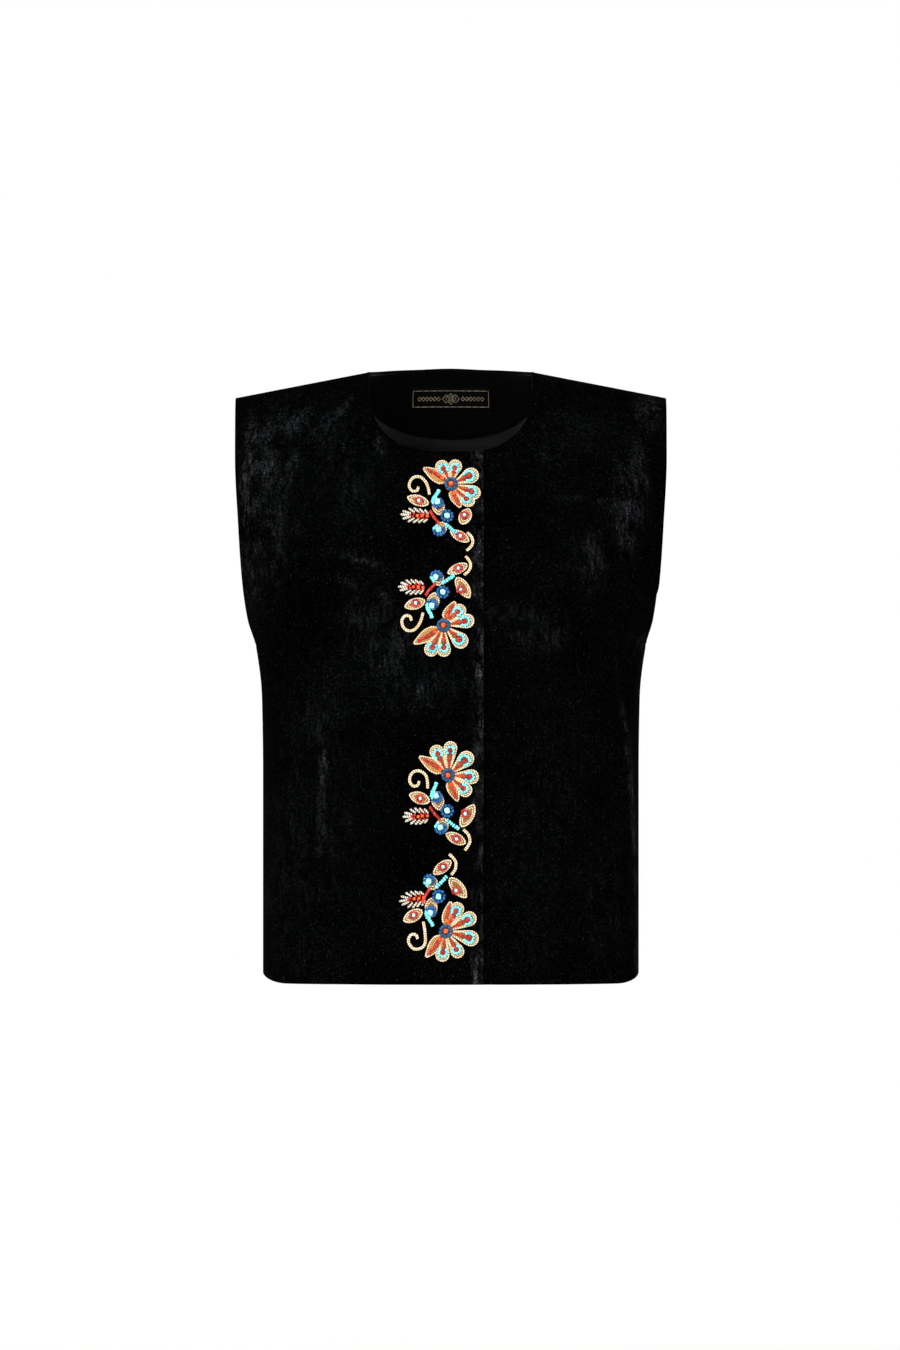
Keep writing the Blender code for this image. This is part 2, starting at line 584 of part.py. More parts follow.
def spray_pieces(spray, collection):
    """All the raised pieces of one embroidered spray."""
    add_pad(f"{spray.name}_flower", spray, (0, 0), flower_outline(spray), PAD_CROWN + 0.0008, "gold", collection)
    for leaf in LEAVES:
        shift = shift_of(spray, leaf.name)
        centre = (leaf.x + shift.x, leaf.y + shift.y)
        add_pad(f"{spray.name}_{leaf.name}", spray, centre, leaf_outline(leaf, shift), PAD_CROWN, "gold", collection)
    for disc in MEDALLIONS:
        turn = np.linspace(0, 2 * math.pi, 10, endpoint=False)
        outline = (disc.radius * np.cos(turn), disc.radius * np.sin(turn))
        add_pad(f"{spray.name}_{disc.name}", spray, (disc.x, disc.y), outline, PAD_CROWN + 0.0006, "blue_beads",
                collection)
    shift = shift_of(spray, "ear")
    centre = (EAR_X + shift.x, EAR_Y + shift.y)
    add_pad(f"{spray.name}_ear", spray, centre, ear_outline(shift), PAD_CROWN, "silver", collection)
    tendril, tail = shifted_route(spray, "tendril", TENDRIL), shifted_route(spray, "tail", TAIL)
    add_wire(f"{spray.name}_tendril", spray, tendril, 17, "gold", collection)
    add_wire(f"{spray.name}_tail", spray, tail, 7, "gold", collection)


def main():
    for old in list(bpy.data.objects):
        bpy.data.objects.remove(old)
    collection = bpy.data.collections.new("velvet_vest")
    bpy.context.scene.collection.children.link(collection)
    add_wall("front_right", front_panel(-1, UPPER_EDGE_X, 0.0), WALL, "velvet", collection)
    add_wall("front_left", front_panel(1, LOWER_EDGE_X, ARMHOLE_GAPE), WALL, "velvet", collection)
    back_pieces(collection)
    for spray in SPRAYS:
        spray_pieces(spray, collection)


main()
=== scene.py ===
"""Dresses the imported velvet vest: velvet shells, satin lining, woven label, goldwork and beads.

Lengths are metres in the frame's own axes. The sprays alone are drawn in millimetres about their
flower. Heights in the tables are measured up from the hem, and the vest's surfaces are worked out
from the same named sizes as its solids.
"""

import math
from collections import namedtuple

import bpy
import numpy as np
from bpy.props import FloatProperty, FloatVectorProperty, PointerProperty
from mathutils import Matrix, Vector


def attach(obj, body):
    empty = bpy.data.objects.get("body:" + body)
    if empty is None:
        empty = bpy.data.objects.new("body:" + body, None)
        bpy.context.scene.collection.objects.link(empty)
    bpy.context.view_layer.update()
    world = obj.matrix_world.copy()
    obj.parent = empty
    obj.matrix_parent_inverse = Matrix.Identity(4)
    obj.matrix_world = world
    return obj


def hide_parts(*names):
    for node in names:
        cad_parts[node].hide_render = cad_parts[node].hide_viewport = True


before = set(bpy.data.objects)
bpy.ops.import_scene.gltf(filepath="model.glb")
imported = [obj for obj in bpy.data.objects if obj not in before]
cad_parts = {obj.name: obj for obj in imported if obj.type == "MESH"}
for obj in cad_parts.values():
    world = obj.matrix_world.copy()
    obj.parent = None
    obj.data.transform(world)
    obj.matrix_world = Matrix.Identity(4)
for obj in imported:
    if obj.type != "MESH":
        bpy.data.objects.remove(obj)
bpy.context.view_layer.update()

bl_info = {
    "name": "Velvet Vest",
    "version": (1, 0, 0),
    "blender": (4, 5, 0),
    "location": "3D View > Sidebar > Vest",
    "description": "Builds the cloth, goldwork and beads of a velvet vest round its packed solids",
    "category": "Object",
}

# Heights above the hem
NECK_POINT_HEIGHT = 0.5795
BACK_NECK_HEIGHT = 0.5843
SHOULDER_TIP_HEIGHT = 0.5550
UNDERARM_HEIGHT = 0.3180
ARMHOLE_WIDEST_HEIGHT = 0.4300
ROLL_START_HEIGHT = 0.4500

# Half widths, from the centre line
SHOULDER_HALF_WIDTH = 0.2047
NECK_HALF_WIDTH = 0.0785
FRONT_NECK_DROP = 0.0765

# Armholes
FRONT_ARMHOLE_REACH = 0.055
BACK_ARMHOLE_REACH = 0.050
ARMHOLE_POWER = 0.58
ARMHOLE_GAPE = 0.0050
ARMHOLE_GAPE_LENGTH = 0.060

# Roundness of the sections, of the neckline and of the roll over the shoulder
SECTION_POWER = 2.35
NECK_POWER = 2.8
ROLL_POWER = 2.4
NECK_RISE = 0.042
HEM_CORNER = 0.0085
HEM_CORNER_SHARE = 0.55
HEM_RISE_FADE = 0.0800

# Lapped front
UPPER_EDGE_X = 0.0310
LOWER_EDGE_X = -0.0140
LAP_STEP = 0.0028
LAP_FADE = 0.0250

# The panels' rims touch at the seams, so that no light comes through
SEAM_LAP = 0.0002
SEAM_DIP = 0.0009
SEAM_DIP_WIDTH = 0.0035

# Layers inside the back
LAYER_GAP = 0.0003
LINING_WALL = 0.0010
LABEL_WALL = 0.0006
LABEL_GAP = 0.0006
FACING_SHARE = 0.45
FACING_SHOULDER_X = 0.1258
LABEL_WIDTH = 0.0820
LABEL_HEIGHT = 0.0210
LABEL_CENTRE_HEIGHT = 0.5582
FACING_CURVE = 0.36
INNER_FACING = 0.035
LINING_ROWS = slice(3, -4)

Section = namedtuple("Section", "height half_width front_depth back_depth")
SECTIONS = (
    Section(0.000, 0.1785, 0.112, 0.098),
    Section(0.100, 0.1785, 0.113, 0.098),
    Section(0.200, 0.1785, 0.116, 0.100),
    Section(0.270, 0.1795, 0.119, 0.103),
    Section(0.318, 0.1850, 0.120, 0.105),
    Section(0.345, 0.1930, 0.119, 0.106),
    Section(0.380, 0.1980, 0.115, 0.107),
    Section(0.430, 0.2015, 0.106, 0.107),
    Section(0.500, 0.2047, 0.086, 0.101),
    Section(0.585, 0.2047, 0.064, 0.090),
)

# Folds and creases, each from a top point to a bottom point. A negative depth is a trough.
Fold = namedtuple("Fold", "top_x top_height bottom_x bottom_height width depth")
FRONT_FOLDS = (
    Fold(-0.120, 0.270, -0.135, 0.030, 0.016, 0.0040),
    Fold(-0.088, 0.250, -0.100, 0.010, 0.020, -0.0030),
    Fold(-0.150, 0.420, -0.060, 0.250, 0.018, 0.0026),
    Fold(-0.165, 0.530, -0.172, 0.370, 0.014, -0.0030),
    Fold(0.160, 0.270, 0.172, 0.090, 0.013, 0.0045),
    Fold(0.140, 0.260, 0.150, 0.030, 0.017, -0.0032),
    Fold(0.095, 0.200, 0.105, 0.000, 0.022, 0.0026),
    Fold(0.165, 0.520, 0.172, 0.370, 0.015, 0.0030),
    Fold(0.150, 0.400, 0.080, 0.270, 0.018, -0.0024),
)
BACK_FOLDS = (
    Fold(-0.130, 0.300, -0.140, 0.020, 0.018, 0.0040),
    Fold(-0.070, 0.240, -0.078, 0.000, 0.022, -0.0034),
    Fold(0.012, 0.200, 0.018, 0.000, 0.024, 0.0030),
    Fold(0.085, 0.260, 0.090, 0.010, 0.020, -0.0032),
    Fold(0.140, 0.320, 0.148, 0.040, 0.016, 0.0040),
    Fold(-0.150, 0.480, -0.110, 0.330, 0.018, -0.0026),
    Fold(0.155, 0.470, 0.115, 0.340, 0.018, -0.0026),
)
FRONT_CREASES = (
    Fold(-0.094, 0.404, -0.066, 0.396, 0.0040, -0.0007),
    Fold(-0.108, 0.385, -0.083, 0.372, 0.0045, 0.0006),
    Fold(-0.140, 0.470, -0.120, 0.420, 0.0060, -0.0009),
    Fold(-0.190, 0.500, -0.186, 0.430, 0.0050, 0.0012),
    Fold(-0.176, 0.345, -0.150, 0.295, 0.0080, 0.0014),
    Fold(-0.122, 0.262, -0.124, 0.040, 0.0050, 0.0012),
    Fold(-0.148, 0.190, -0.151, 0.020, 0.0060, -0.0010),
    Fold(-0.060, 0.180, -0.066, 0.050, 0.0070, 0.0008),
    Fold(-0.112, 0.560, -0.083, 0.540, 0.0050, 0.0012),
    Fold(0.164, 0.258, 0.171, 0.120, 0.0040, 0.0014),
    Fold(0.171, 0.125, 0.178, 0.010, 0.0060, 0.0012),
    Fold(0.180, 0.345, 0.150, 0.300, 0.0080, -0.0013),
    Fold(0.168, 0.470, 0.160, 0.400, 0.0070, 0.0011),
    Fold(0.060, 0.345, 0.100, 0.325, 0.0090, -0.0009),
    Fold(0.070, 0.220, 0.074, 0.060, 0.0080, 0.0008),
    Fold(0.120, 0.150, 0.124, 0.000, 0.0070, -0.0009),
)
BACK_CREASES = (
    Fold(-0.100, 0.270, -0.106, 0.060, 0.0060, 0.0010),
    Fold(-0.030, 0.210, -0.026, 0.000, 0.0080, -0.0010),
    Fold(0.050, 0.300, 0.056, 0.100, 0.0070, 0.0009),
    Fold(0.120, 0.220, 0.125, 0.030, 0.0060, -0.0011),
    Fold(-0.170, 0.350, -0.130, 0.300, 0.0090, 0.0013),
    Fold(0.175, 0.345, 0.140, 0.290, 0.0090, 0.0013),
    Fold(-0.040, 0.500, -0.055, 0.380, 0.0100, -0.0010),
    Fold(0.035, 0.490, 0.050, 0.390, 0.0100, 0.0009),
)

# Painted sheen where crushed pile catches the light: soft ovals. A turn in degrees leans their tops
# towards +X.
Patch = namedtuple("Patch", "x height half_width half_height turn strength")
FRONT_PATCHES = (
    Patch(-0.190, 0.482, 0.007, 0.034, 3, 1.00),
    Patch(-0.174, 0.492, 0.009, 0.030, 8, 0.75),
    Patch(-0.150, 0.500, 0.006, 0.045, 6, 0.50),
    Patch(-0.165, 0.440, 0.014, 0.045, 4, 0.34),
    Patch(-0.185, 0.400, 0.012, 0.030, 6, 0.40),
    Patch(-0.150, 0.530, 0.020, 0.014, 15, 0.45),
    Patch(-0.105, 0.540, 0.003, 0.022, 40, 0.55),
    Patch(-0.108, 0.520, 0.014, 0.024, -14, 0.28),
    Patch(-0.095, 0.470, 0.020, 0.024, 0, 0.18),
    Patch(-0.067, 0.508, 0.004, 0.007, 0, 0.95),
    Patch(-0.085, 0.400, 0.0022, 0.016, -72, 0.60),
    Patch(-0.096, 0.378, 0.0020, 0.014, -60, 0.50),
    Patch(-0.060, 0.362, 0.0020, 0.012, -50, 0.40),
    Patch(-0.052, 0.318, 0.024, 0.018, 0, 0.55),
    Patch(-0.034, 0.288, 0.028, 0.020, 0, 0.40),
    Patch(-0.075, 0.345, 0.020, 0.016, 0, 0.30),
    Patch(-0.120, 0.180, 0.0026, 0.055, 1, 0.75),
    Patch(-0.120, 0.250, 0.016, 0.040, 0, 0.14),
    Patch(-0.105, 0.140, 0.012, 0.060, 0, 0.10),
    Patch(-0.145, 0.110, 0.026, 0.110, 0, 0.12),
    Patch(0.168, 0.455, 0.010, 0.034, 4, 0.80),
    Patch(0.178, 0.485, 0.006, 0.024, -6, 0.55),
    Patch(0.138, 0.456, 0.0022, 0.030, -84, 0.35),
    Patch(0.132, 0.402, 0.014, 0.020, 10, 0.35),
    Patch(0.064, 0.347, 0.028, 0.008, 0, 0.42),
    Patch(0.080, 0.328, 0.020, 0.011, 0, 0.42),
    Patch(0.182, 0.322, 0.008, 0.006, 0, 0.50),
    Patch(0.186, 0.540, 0.010, 0.014, 0, 0.45),
    Patch(0.110, 0.510, 0.030, 0.030, 0, 0.12),
    Patch(0.1690, 0.176, 0.0024, 0.062, -5.5, 1.00),
    Patch(0.1765, 0.060, 0.0030, 0.055, -1, 0.65),
    Patch(0.150, 0.080, 0.030, 0.060, 0, 0.12),
    Patch(0.090, 0.150, 0.040, 0.080, 0, 0.08),
)
BACK_PATCHES = (
    Patch(-0.168, 0.480, 0.010, 0.045, -8, 0.75),
    Patch(-0.145, 0.430, 0.014, 0.040, -4, 0.40),
    Patch(0.172, 0.470, 0.009, 0.050, 8, 0.80),
    Patch(0.145, 0.500, 0.012, 0.030, 12, 0.40),
    Patch(0.020, 0.530, 0.050, 0.016, 0, 0.25),
    Patch(-0.070, 0.400, 0.040, 0.030, 20, 0.25),
    Patch(0.080, 0.330, 0.045, 0.025, -20, 0.30),
    Patch(-0.128, 0.180, 0.0030, 0.080, 2, 0.70),
    Patch(-0.110, 0.230, 0.016, 0.060, 0, 0.24),
    Patch(-0.040, 0.130, 0.024, 0.080, 0, 0.20),
    Patch(0.058, 0.090, 0.0030, 0.070, -2, 0.50),
    Patch(0.070, 0.110, 0.020, 0.070, 0, 0.22),
    Patch(0.158, 0.130, 0.006, 0.100, 1, 0.50),
)

# Light along the rolled front edge: (height, strength)
EDGE_GLOW = (
    (0.000, 3.2), (0.012, 2.8), (0.030, 1.1), (0.060, 0.50), (0.150, 0.50),
    (0.200, 0.80), (0.230, 1.20), (0.290, 1.50), (0.320, 0.90), (0.345, 0.40),
    (0.370, 0.80), (0.404, 1.25), (0.440, 0.80), (0.472, 0.50), (0.505, 1.00),
)

# One embroidered spray, drawn in millimetres about its flower, with the stem running down
Spray = namedtuple("Spray", "name x height turn way stem_scale")
SPRAYS = (
    Spray("spray_1", 0.0002, 0.4710, -6.0, 1, 0.88),
    Spray("spray_2", -0.0069, 0.3383, 0.0, -1, 0.91),
    Spray("spray_3", -0.0026, 0.1975, 0.0, 1, 1.00),
    Spray("spray_4", -0.0048, 0.0506, -10.0, -1, 1.00),
)

# Each flower's petals, five round and then two pointed, with their own angles and reaches
PETAL_WIDTHS = (13.5, 13.0, 15.0, 14.0, 13.5, 12.5, 11.5)
ROUND_PETALS = 5
Petal = namedtuple("Petal", "angle reach width pointed")
Flower = namedtuple("Flower", "angles reaches")
FLOWERS = {
    "spray_1": Flower((123, 83, 30, -15, -40, 155, -65),
                      (25.0, 24.0, 28.0, 29.5, 29.5, 31.5, 26.5)),
    "spray_2": Flower((117, 89, 42, -11, -45, 148, -66),
                      (32.0, 29.5, 29.0, 29.3, 27.5, 34.0, 27.5)),
    "spray_3": Flower((116, 85, 42, -4, -41, 147, -70),
                      (31.0, 32.0, 30.5, 29.0, 28.0, 33.5, 27.5)),
    "spray_4": Flower((108, 70, 26, -18, -53, 137, -71),
                      (29.0, 28.5, 32.0, 32.0, 30.0, 32.0, 29.5)),
}
FLOWER_EYE_RADIUS = 7.0
Leaf = namedtuple("Leaf", "name x y angle length width eye_x eye_y")
LEAVES = (
    Leaf("leaf_left", -27.0, -21.4, 161, 20.5, 11.5, -26.0, -22.0),
    Leaf("leaf_right", 18.5, -38.0, 60, 24.5, 12.0, 16.0, -36.0),
    Leaf("leaf_low", 7.0, -59.5, 153, 21.0, 10.5, 8.0, -60.0),
)
BRACTS = (
    Leaf("bract_upper", -9.6, -24.5, -80, 18.0, 12.0, 0, 0),
    Leaf("bract_lower", -5.4, -47.2, 75, 15.0, 12.0, 0, 0),
)
Medallion = namedtuple("Medallion", "name x y radius centre_x centre_y first_angle last_angle")
MEDALLIONS = (
    Medallion("medallion_upper", -10.6, -20.6, 6.0, -11.2, -19.6, -140, 60),
    Medallion("medallion_middle", -0.7, -33.5, 6.6, -0.7, -33.5, 0, 320),
    Medallion("medallion_lower", -6.6, -50.0, 6.2, -7.4, -49.0, -170, 40),
)
EAR_X = -27.8
# How the hand sewing sets a spray's motif apart: moved, turned, or of another length
Shift = namedtuple("Shift", "x y angle stretch")
SHIFTS = {
    ("spray_1", "tendril"): Shift(-3.0, 0.0, 0, 1.0),
    ("spray_1", "leaf_left"): Shift(-2.5, 1.5, 5, 1.05),
    ("spray_1", "leaf_right"): Shift(-2.0, 6.5, 12, 0.75),
    ("spray_1", "leaf_low"): Shift(6.0, 6.5, 0, 1.0),
    ("spray_1", "ear"): Shift(-0.5, 2.5, 0, 1.1),
    ("spray_1", "tail"): Shift(5.5, 3.0, 0, 1.0),
    ("spray_2", "tendril"): Shift(-3.0, 1.0, 0, 1.0),
    ("spray_2", "leaf_low"): Shift(6.0, 2.0, 0, 1.0),
    ("spray_2", "tail"): Shift(5.0, 0.0, 0, 1.0),
    ("spray_4", "ear"): Shift(4.5, 4.0, 0, 1.0),
    ("spray_4", "leaf_left"): Shift(-1.0, 2.0, 0, 1.0),
    ("spray_4", "tendril"): Shift(0.0, 8.0, 0, 1.0),
}
NO_SHIFT = Shift(0.0, 0.0, 0, 1.0)
SHIFT_POINTS = 2.0
TENDRIL = ((-19.2, -12.5), (-19.4, -6.0), (-21.2, 0.0), (-26.1, 3.8), (-31.8, 3.4),
           (-35.4, -0.8), (-35.9, -6.2), (-32.6, -10.3), (-28.4, -9.4), (-27.2, -5.4))
TAIL = ((14.3, -51.2), (19.0, -56.0), (20.5, -62.2), (18.6, -67.0), (15.7, -70.8))
TURQUOISE_STEMS = (
    ((-11.0, -7.6), (-12.6, -12.0), (-14.6, -15.8), (-15.4, -20.0)),
    ((-0.8, -42.5), (3.6, -46.0), (9.4, -50.2)),
)
RED_STEMS = (((-16.6, -30.6), (-13.0, -36.0), (-7.8, -41.6)),)
EAR_CORALS = ((-19.4, -38.4, 1.75), (-23.8, -38.7, 1.85), (-28.0, -39.0, 1.75))
EAR_REDS = ((-31.2, -37.4, 1.3), (-31.8, -40.4, 1.3), (-34.2, -38.9, 1.35), (-25.6, -36.2, 1.15),
            (-22.0, -36.1, 1.15), (-26.0, -41.3, 1.15), (-22.2, -41.2, 1.15))
PRONG_REACH = 1.22
EAR_PRONGS = (
    ((-18.6, -36.0), (-21.6, -32.4)), ((-22.6, -35.4), (-26.2, -31.8)),
    ((-26.6, -35.2), (-30.6, -31.6)), ((-30.4, -35.6), (-34.8, -32.6)),
    ((-33.6, -37.2), (-39.4, -35.8)), ((-35.0, -39.0), (-41.0, -39.2)),
    ((-33.6, -40.6), (-38.8, -43.0)), ((-30.2, -41.8), (-34.4, -45.4)),
    ((-26.4, -42.2), (-30.0, -45.8)), ((-22.6, -42.2), (-25.8, -45.4)),
    ((-19.0, -41.4), (-21.6, -44.4)),
)

# Wires and beads, in millimetres. A lift is how far a line stands above the velvet.
WIRE_PITCH = 1.70
CORD_PITCH = 2.2
CORD_SWELL = 0.12
WIRE_INSET = 0.75
WIRE_STEP = 0.55
WIRE_SIDES = 6
AROUND_WIRE = np.linspace(0, 2 * math.pi, WIRE_SIDES, endpoint=False)
RIM_WIRE = 0.74
INNER_WIRE = 0.52
LINE_WIRE = 0.50
CORD_WIRE = 0.66
CORD_OFFSET = 0.68
RIM_LIFT = 1.1
INNER_LIFT = RIM_LIFT + 0.3
LINE_LIFT = RIM_LIFT + 0.5
CORD_LIFT = 0.9
FLANK_SHARE = 0.16
PETAL_START = 6.6
THIN_PRONG = 1.05
THICK_PRONG = 1.25
PRONG_SPLIT_X = -33.0
PRONG_LIFT = 1.3
BEAD_SPACING = 2.35
STACK_SPACING = 1.80
BEAD_FILL = 0.47
BEAD_LIFT = 2.6
STEM_LIFT = 1.6
BEAD_NUDGE = 0.01
LARGE_BEAD = 2.1
SMALL_BEAD_FACES = (9, 6)
LARGE_BEAD_FACES = (16, 10)
FIRST_BEAD_SEED = 100

# Rings of beads: an arc between two angles in degrees, and the size and lift of its beads
Ring = namedtuple("Ring", "radius count first last bead lift")
EYE_RING = Ring(4.9, 10, 0, 324, 1.60, BEAD_LIFT)
HEART_RING = Ring(1.7, 3, -75, 75, 1.0, BEAD_LIFT + 0.2)
LEAF_RING = Ring(3.2, 8, 10, 325, 1.35, BEAD_LIFT)
BESIDE_RING = Ring(4.2, 3, 120, 215, 1.25, BEAD_LIFT - 0.4)
ARCH_INSET = 2.85
ARCH_BEAD = 1.50
ARCH_ANGLE = 135
HEART_INSET = 2.1
HEART_GAP = 0.4
STACK_START = 8.6
POINT_START = 12.0
POINT_END_SHARE = 0.82
POINT_OFFSETS = (-0.9, -0.3)
BASE_PLACE = (9.6, -0.4)
DISC_INSET = 1.5
DISC_SPACING = 3.0
DISC_RING_BEAD = 1.65
DISC_STEP = 2.2
DISC_SHIFT = 1.0
DISC_CUT = 40

# Single beads as (radius, lift), and strung ones as (radius, lift, turn against the thread)
EYE_BEAD = (2.3, BEAD_LIFT + 0.5)
BASE_BEAD = (2.1, BEAD_LIFT)
LEAF_BEAD = (1.8, BEAD_LIFT + 0.5)
DISC_BEAD = (2.9, BEAD_LIFT + 0.8)
POINT_STACK = (1.70, BEAD_LIFT, 0.45)
PETAL_STACK = (1.35, BEAD_LIFT, 0.40)
TURQUOISE_STRING = (1.95, STEM_LIFT + 0.5, 0.0)
RED_STRING = (1.75, STEM_LIFT, 0.5)

# Pads: shares of the outline at the foot, then (share, lift) up the dome, the crown's lift being 1
PAD_BELOW = -0.5
PAD_FOOT = (0.5, 0.9, 1.0)
PAD_DOME = ((1.0, 0.30), (0.97, 0.62), (0.88, 0.86), (0.70, 0.97), (0.45, 1.0))
FLOWER_CROWN = 1.3
LEAF_CROWN = 1.0
FAN_RADIUS = 12.0

# The label's threads, in metres. A lozenge is its middle, half height, and width against height.
LABEL_MARGIN = (0.0036, 0.0028)
LABEL_THREAD = (0.00020, 0.00016)
LABEL_THREAD_STEP = 0.8
SMALL_LOZENGES = (*np.linspace(-0.031, -0.012, 6), *np.linspace(0.012, 0.031, 6))
LOZENGES = (
    *((middle, 0.0020, 0.8) for middle in SMALL_LOZENGES),
    (-0.0045, 0.0040, 0.9), (0.0045, 0.0040, 0.9), (0.0, 0.0052, 0.9), (0.0, 0.0030, 0.7),
)

# Noises in Object coordinates, in waves for each metre. What lies from low to high is carried to
# the span from out_low to out_high. A stretch and a lean, a turn about Y in radians, set the grain.
Tone = namedtuple("Tone", "scale detail roughness low high out_low out_high stretch lean",
                  defaults=(0.0, 1.0, (1.0, 1.0, 1.0), 0.0))
TONES = {
    "mottle": Tone(70.0, 4.0, 0.60, 0.40, 0.64, 0.04, 1.15, (1.0, 1.0, 0.7)),
    "streak": Tone(300.0, 5.0, 0.70, 0.42, 0.66, 0.04, 1.15, (1.0, 1.0, 0.22)),
    "cloud": Tone(16.0, 3.0, 0.50, 0.35, 0.70, 0.12, 1.0),
    "tuft": Tone(640.0, 5.0, 0.78, 0.48, 0.74, 0.0, 1.0, (1.0, 1.0, 0.8)),
    # Sparse painted glints on the velvet
    "spark": Tone(820.0, 1.0, 0.50, 0.68, 0.77, 0.0, 0.36),
    # Streaks of painted sheen along the lining's soft creases
    "satin_lining": Tone(26.0, 2.0, 0.50, 0.36, 0.64, 0.0, 1.0, (0.5, 1.0, 2.2), 0.25),
    "neck_facing": Tone(40.0, 4.0, 0.50, 0.3, 0.7),
    "label_taffeta": Tone(220.0, 3.0, 0.50, 0.3, 0.7, 0.0, 1.0, (1.0, 1.0, 6.0)),
    "thread": Tone(420.0, 3.0, 0.50, 0.35, 0.65),
    "padding": Tone(260.0, 3.0, 0.50, 0.35, 0.65),
    "glass": Tone(330.0, 1.0, 0.50, 0.35, 0.65),
    "floor": Tone(1.5, 2.0, 0.50, 0.3, 0.7),
}

# Stage
FLOOR_SIDES = 96
FLOOR_RADIUS = 9.0
SENSOR_WIDTH = 36.0
LIGHT_AIM = (0.0, 0.0, -0.29)

# How finely the shells are drawn, and the step that their normals are taken over
NORMAL_STEP = 0.0005
EDGE_STEPS = (0.0, 0.00018, 0.00050, 0.00105, 0.00190)
FRONT_COUNTS = {"neck": 66, "shoulder": 64, "below": 104, "beside": 44, "roll": 60}
BACK_COUNTS = {"neck": 34, "shoulder": 44, "below": 64, "beside": 30, "roll": 50}
LAYER_COUNTS = {"neck": 20, "shoulder": 26, "below": 26, "beside": 14, "roll": 26}


def curve_through(column, height):
    """A section value at any height: a cubic through the table's rows that never overshoots."""
    knots = np.array([row.height for row in SECTIONS])
    values = np.array([getattr(row, column) for row in SECTIONS])
    rises = np.diff(values) / np.diff(knots)
    before, after = rises[:-1], rises[1:]
    same_way = before * after > 0
    slopes = np.zeros_like(values)
    total = np.where(same_way, before + after, 1.0)
    slopes[1:-1] = np.where(same_way, 2 * before * after / total, 0.0)
    height = np.clip(height, knots[0], knots[-1])
    i = np.clip(np.searchsorted(knots, height) - 1, 0, len(knots) - 2)
    span = knots[i + 1] - knots[i]
    t = (height - knots[i]) / span
    return (
        values[i] * (2 * t**3 - 3 * t**2 + 1)
        + values[i + 1] * (3 * t**2 - 2 * t**3)
        + span * (slopes[i] * (t**3 - 2 * t**2 + t) + slopes[i + 1] * (t**3 - t**2))
    )


def smooth_step(value, low, high):
    """0 below low, 1 above high, and an even S between them."""
    t = np.clip((value - low) / (high - low), 0.0, 1.0)
    return t * t * (3 - 2 * t)


def ridge_height(across):
    """Height of the shoulder ridge. Inside the neckline it is only a guide that rises."""
    away = np.abs(across)
    share = (away - NECK_HALF_WIDTH) / (SHOULDER_HALF_WIDTH - NECK_HALF_WIDTH)
    drop = SHOULDER_TIP_HEIGHT - NECK_POINT_HEIGHT
    shoulder = NECK_POINT_HEIGHT + drop * np.maximum(share, 0.0)
    inside = np.clip(1 - (away / NECK_HALF_WIDTH) ** 2, 0.0, 1.0)
    return shoulder + NECK_RISE * inside**1.5


def armhole_reach(height, reach):
    """Distance of the armhole's edge from the side seams' plane: a rounded arch."""
    rise = ARMHOLE_WIDEST_HEIGHT - UNDERARM_HEIGHT
    t = np.clip((ARMHOLE_WIDEST_HEIGHT - height) / rise, 0.0, 1.0)
    return reach * (1 - t * t) ** ARMHOLE_POWER


def edge_across(height, gape=0.0):
    """Half width at a height: the side seam, or the armhole's edge, which a gape draws in."""
    t = np.clip((height - UNDERARM_HEIGHT) / ARMHOLE_GAPE_LENGTH, 0.0, 1.0)
    return curve_through("half_width", height) - gape * np.sin(math.pi * t) ** 2


def depth_at(across, height, front):
    """How far the body stands before (front) or behind the side seam's plane, folds left out.

    A superellipse of the section's half width and depth, rolled in over the chest to the ridge."""
    depth = curve_through("front_depth" if front else "back_depth", height)
    reach = armhole_reach(height, FRONT_ARMHOLE_REACH if front else BACK_ARMHOLE_REACH)
    whole = edge_across(height) / (1 - (reach / depth) ** SECTION_POWER) ** (1 / SECTION_POWER)
    inside = np.clip(np.abs(across) / whole, 0.0, 1.0)
    ring = depth * (1 - inside**SECTION_POWER) ** (1 / SECTION_POWER)
    rise = (height - ROLL_START_HEIGHT) / (ridge_height(across) - ROLL_START_HEIGHT)
    return ring * np.sqrt(1 - np.clip(rise, 0.0, 1.0) ** ROLL_POWER)


def fold_depth(x, height, folds):
    """How far the folds lift the cloth: a bell across each fold that fades towards its ends."""
    lift = np.zeros_like(x)
    for fold in folds:
        run_x, run_height = fold.bottom_x - fold.top_x, fold.bottom_height - fold.top_height
        if abs(run_height) > abs(run_x):
            t = (fold.top_height - height) / -run_height
            away = x - (fold.top_x + run_x * t)
        else:
            length = math.hypot(run_x, run_height)
            t = ((x - fold.top_x) * run_x + (height - fold.top_height) * run_height) / length**2
            away = ((x - fold.top_x) * run_height - (height - fold.top_height) * run_x) / length
        reaches_hem = fold.bottom_height < 0.02
        fade = smooth_step(t, -0.1, 0.35) * (1.0 if reaches_hem else 1 - smooth_step(t, 0.65, 1.1))
        lift += fold.depth * fade * np.exp(-((away / fold.width) ** 2))
    return lift


def base_point(x, height, front):
    """Points of the outer face without folds, in the part's frame."""
    depth = depth_at(x, height, front) - SEAM_LAP
    return np.stack([x, -depth if front else depth, height - NECK_POINT_HEIGHT], axis=-1)


def unit(vectors):
    """Vectors scaled to length one."""
    return vectors / np.linalg.norm(vectors, axis=-1, keepdims=True)


def face_normal(x, height, front):
    """Outward normals of the outer face without folds, from small steps across and up."""
    step = NORMAL_STEP
    across = base_point(x + step, height, front) - base_point(x - step, height, front)
    up = base_point(x, height + step, front) - base_point(x, height - step, front)
    return unit(np.cross(across, up)) * (1 if front else -1)


def front_surface(x, height, lift):
    """Points on the front's outer face and their normals, moved out along the normal by lift."""
    normal = face_normal(x, height, True)
    out = fold_depth(x, height, FRONT_FOLDS) + lift
    return base_point(x, height, True) + normal * out[..., None], normal


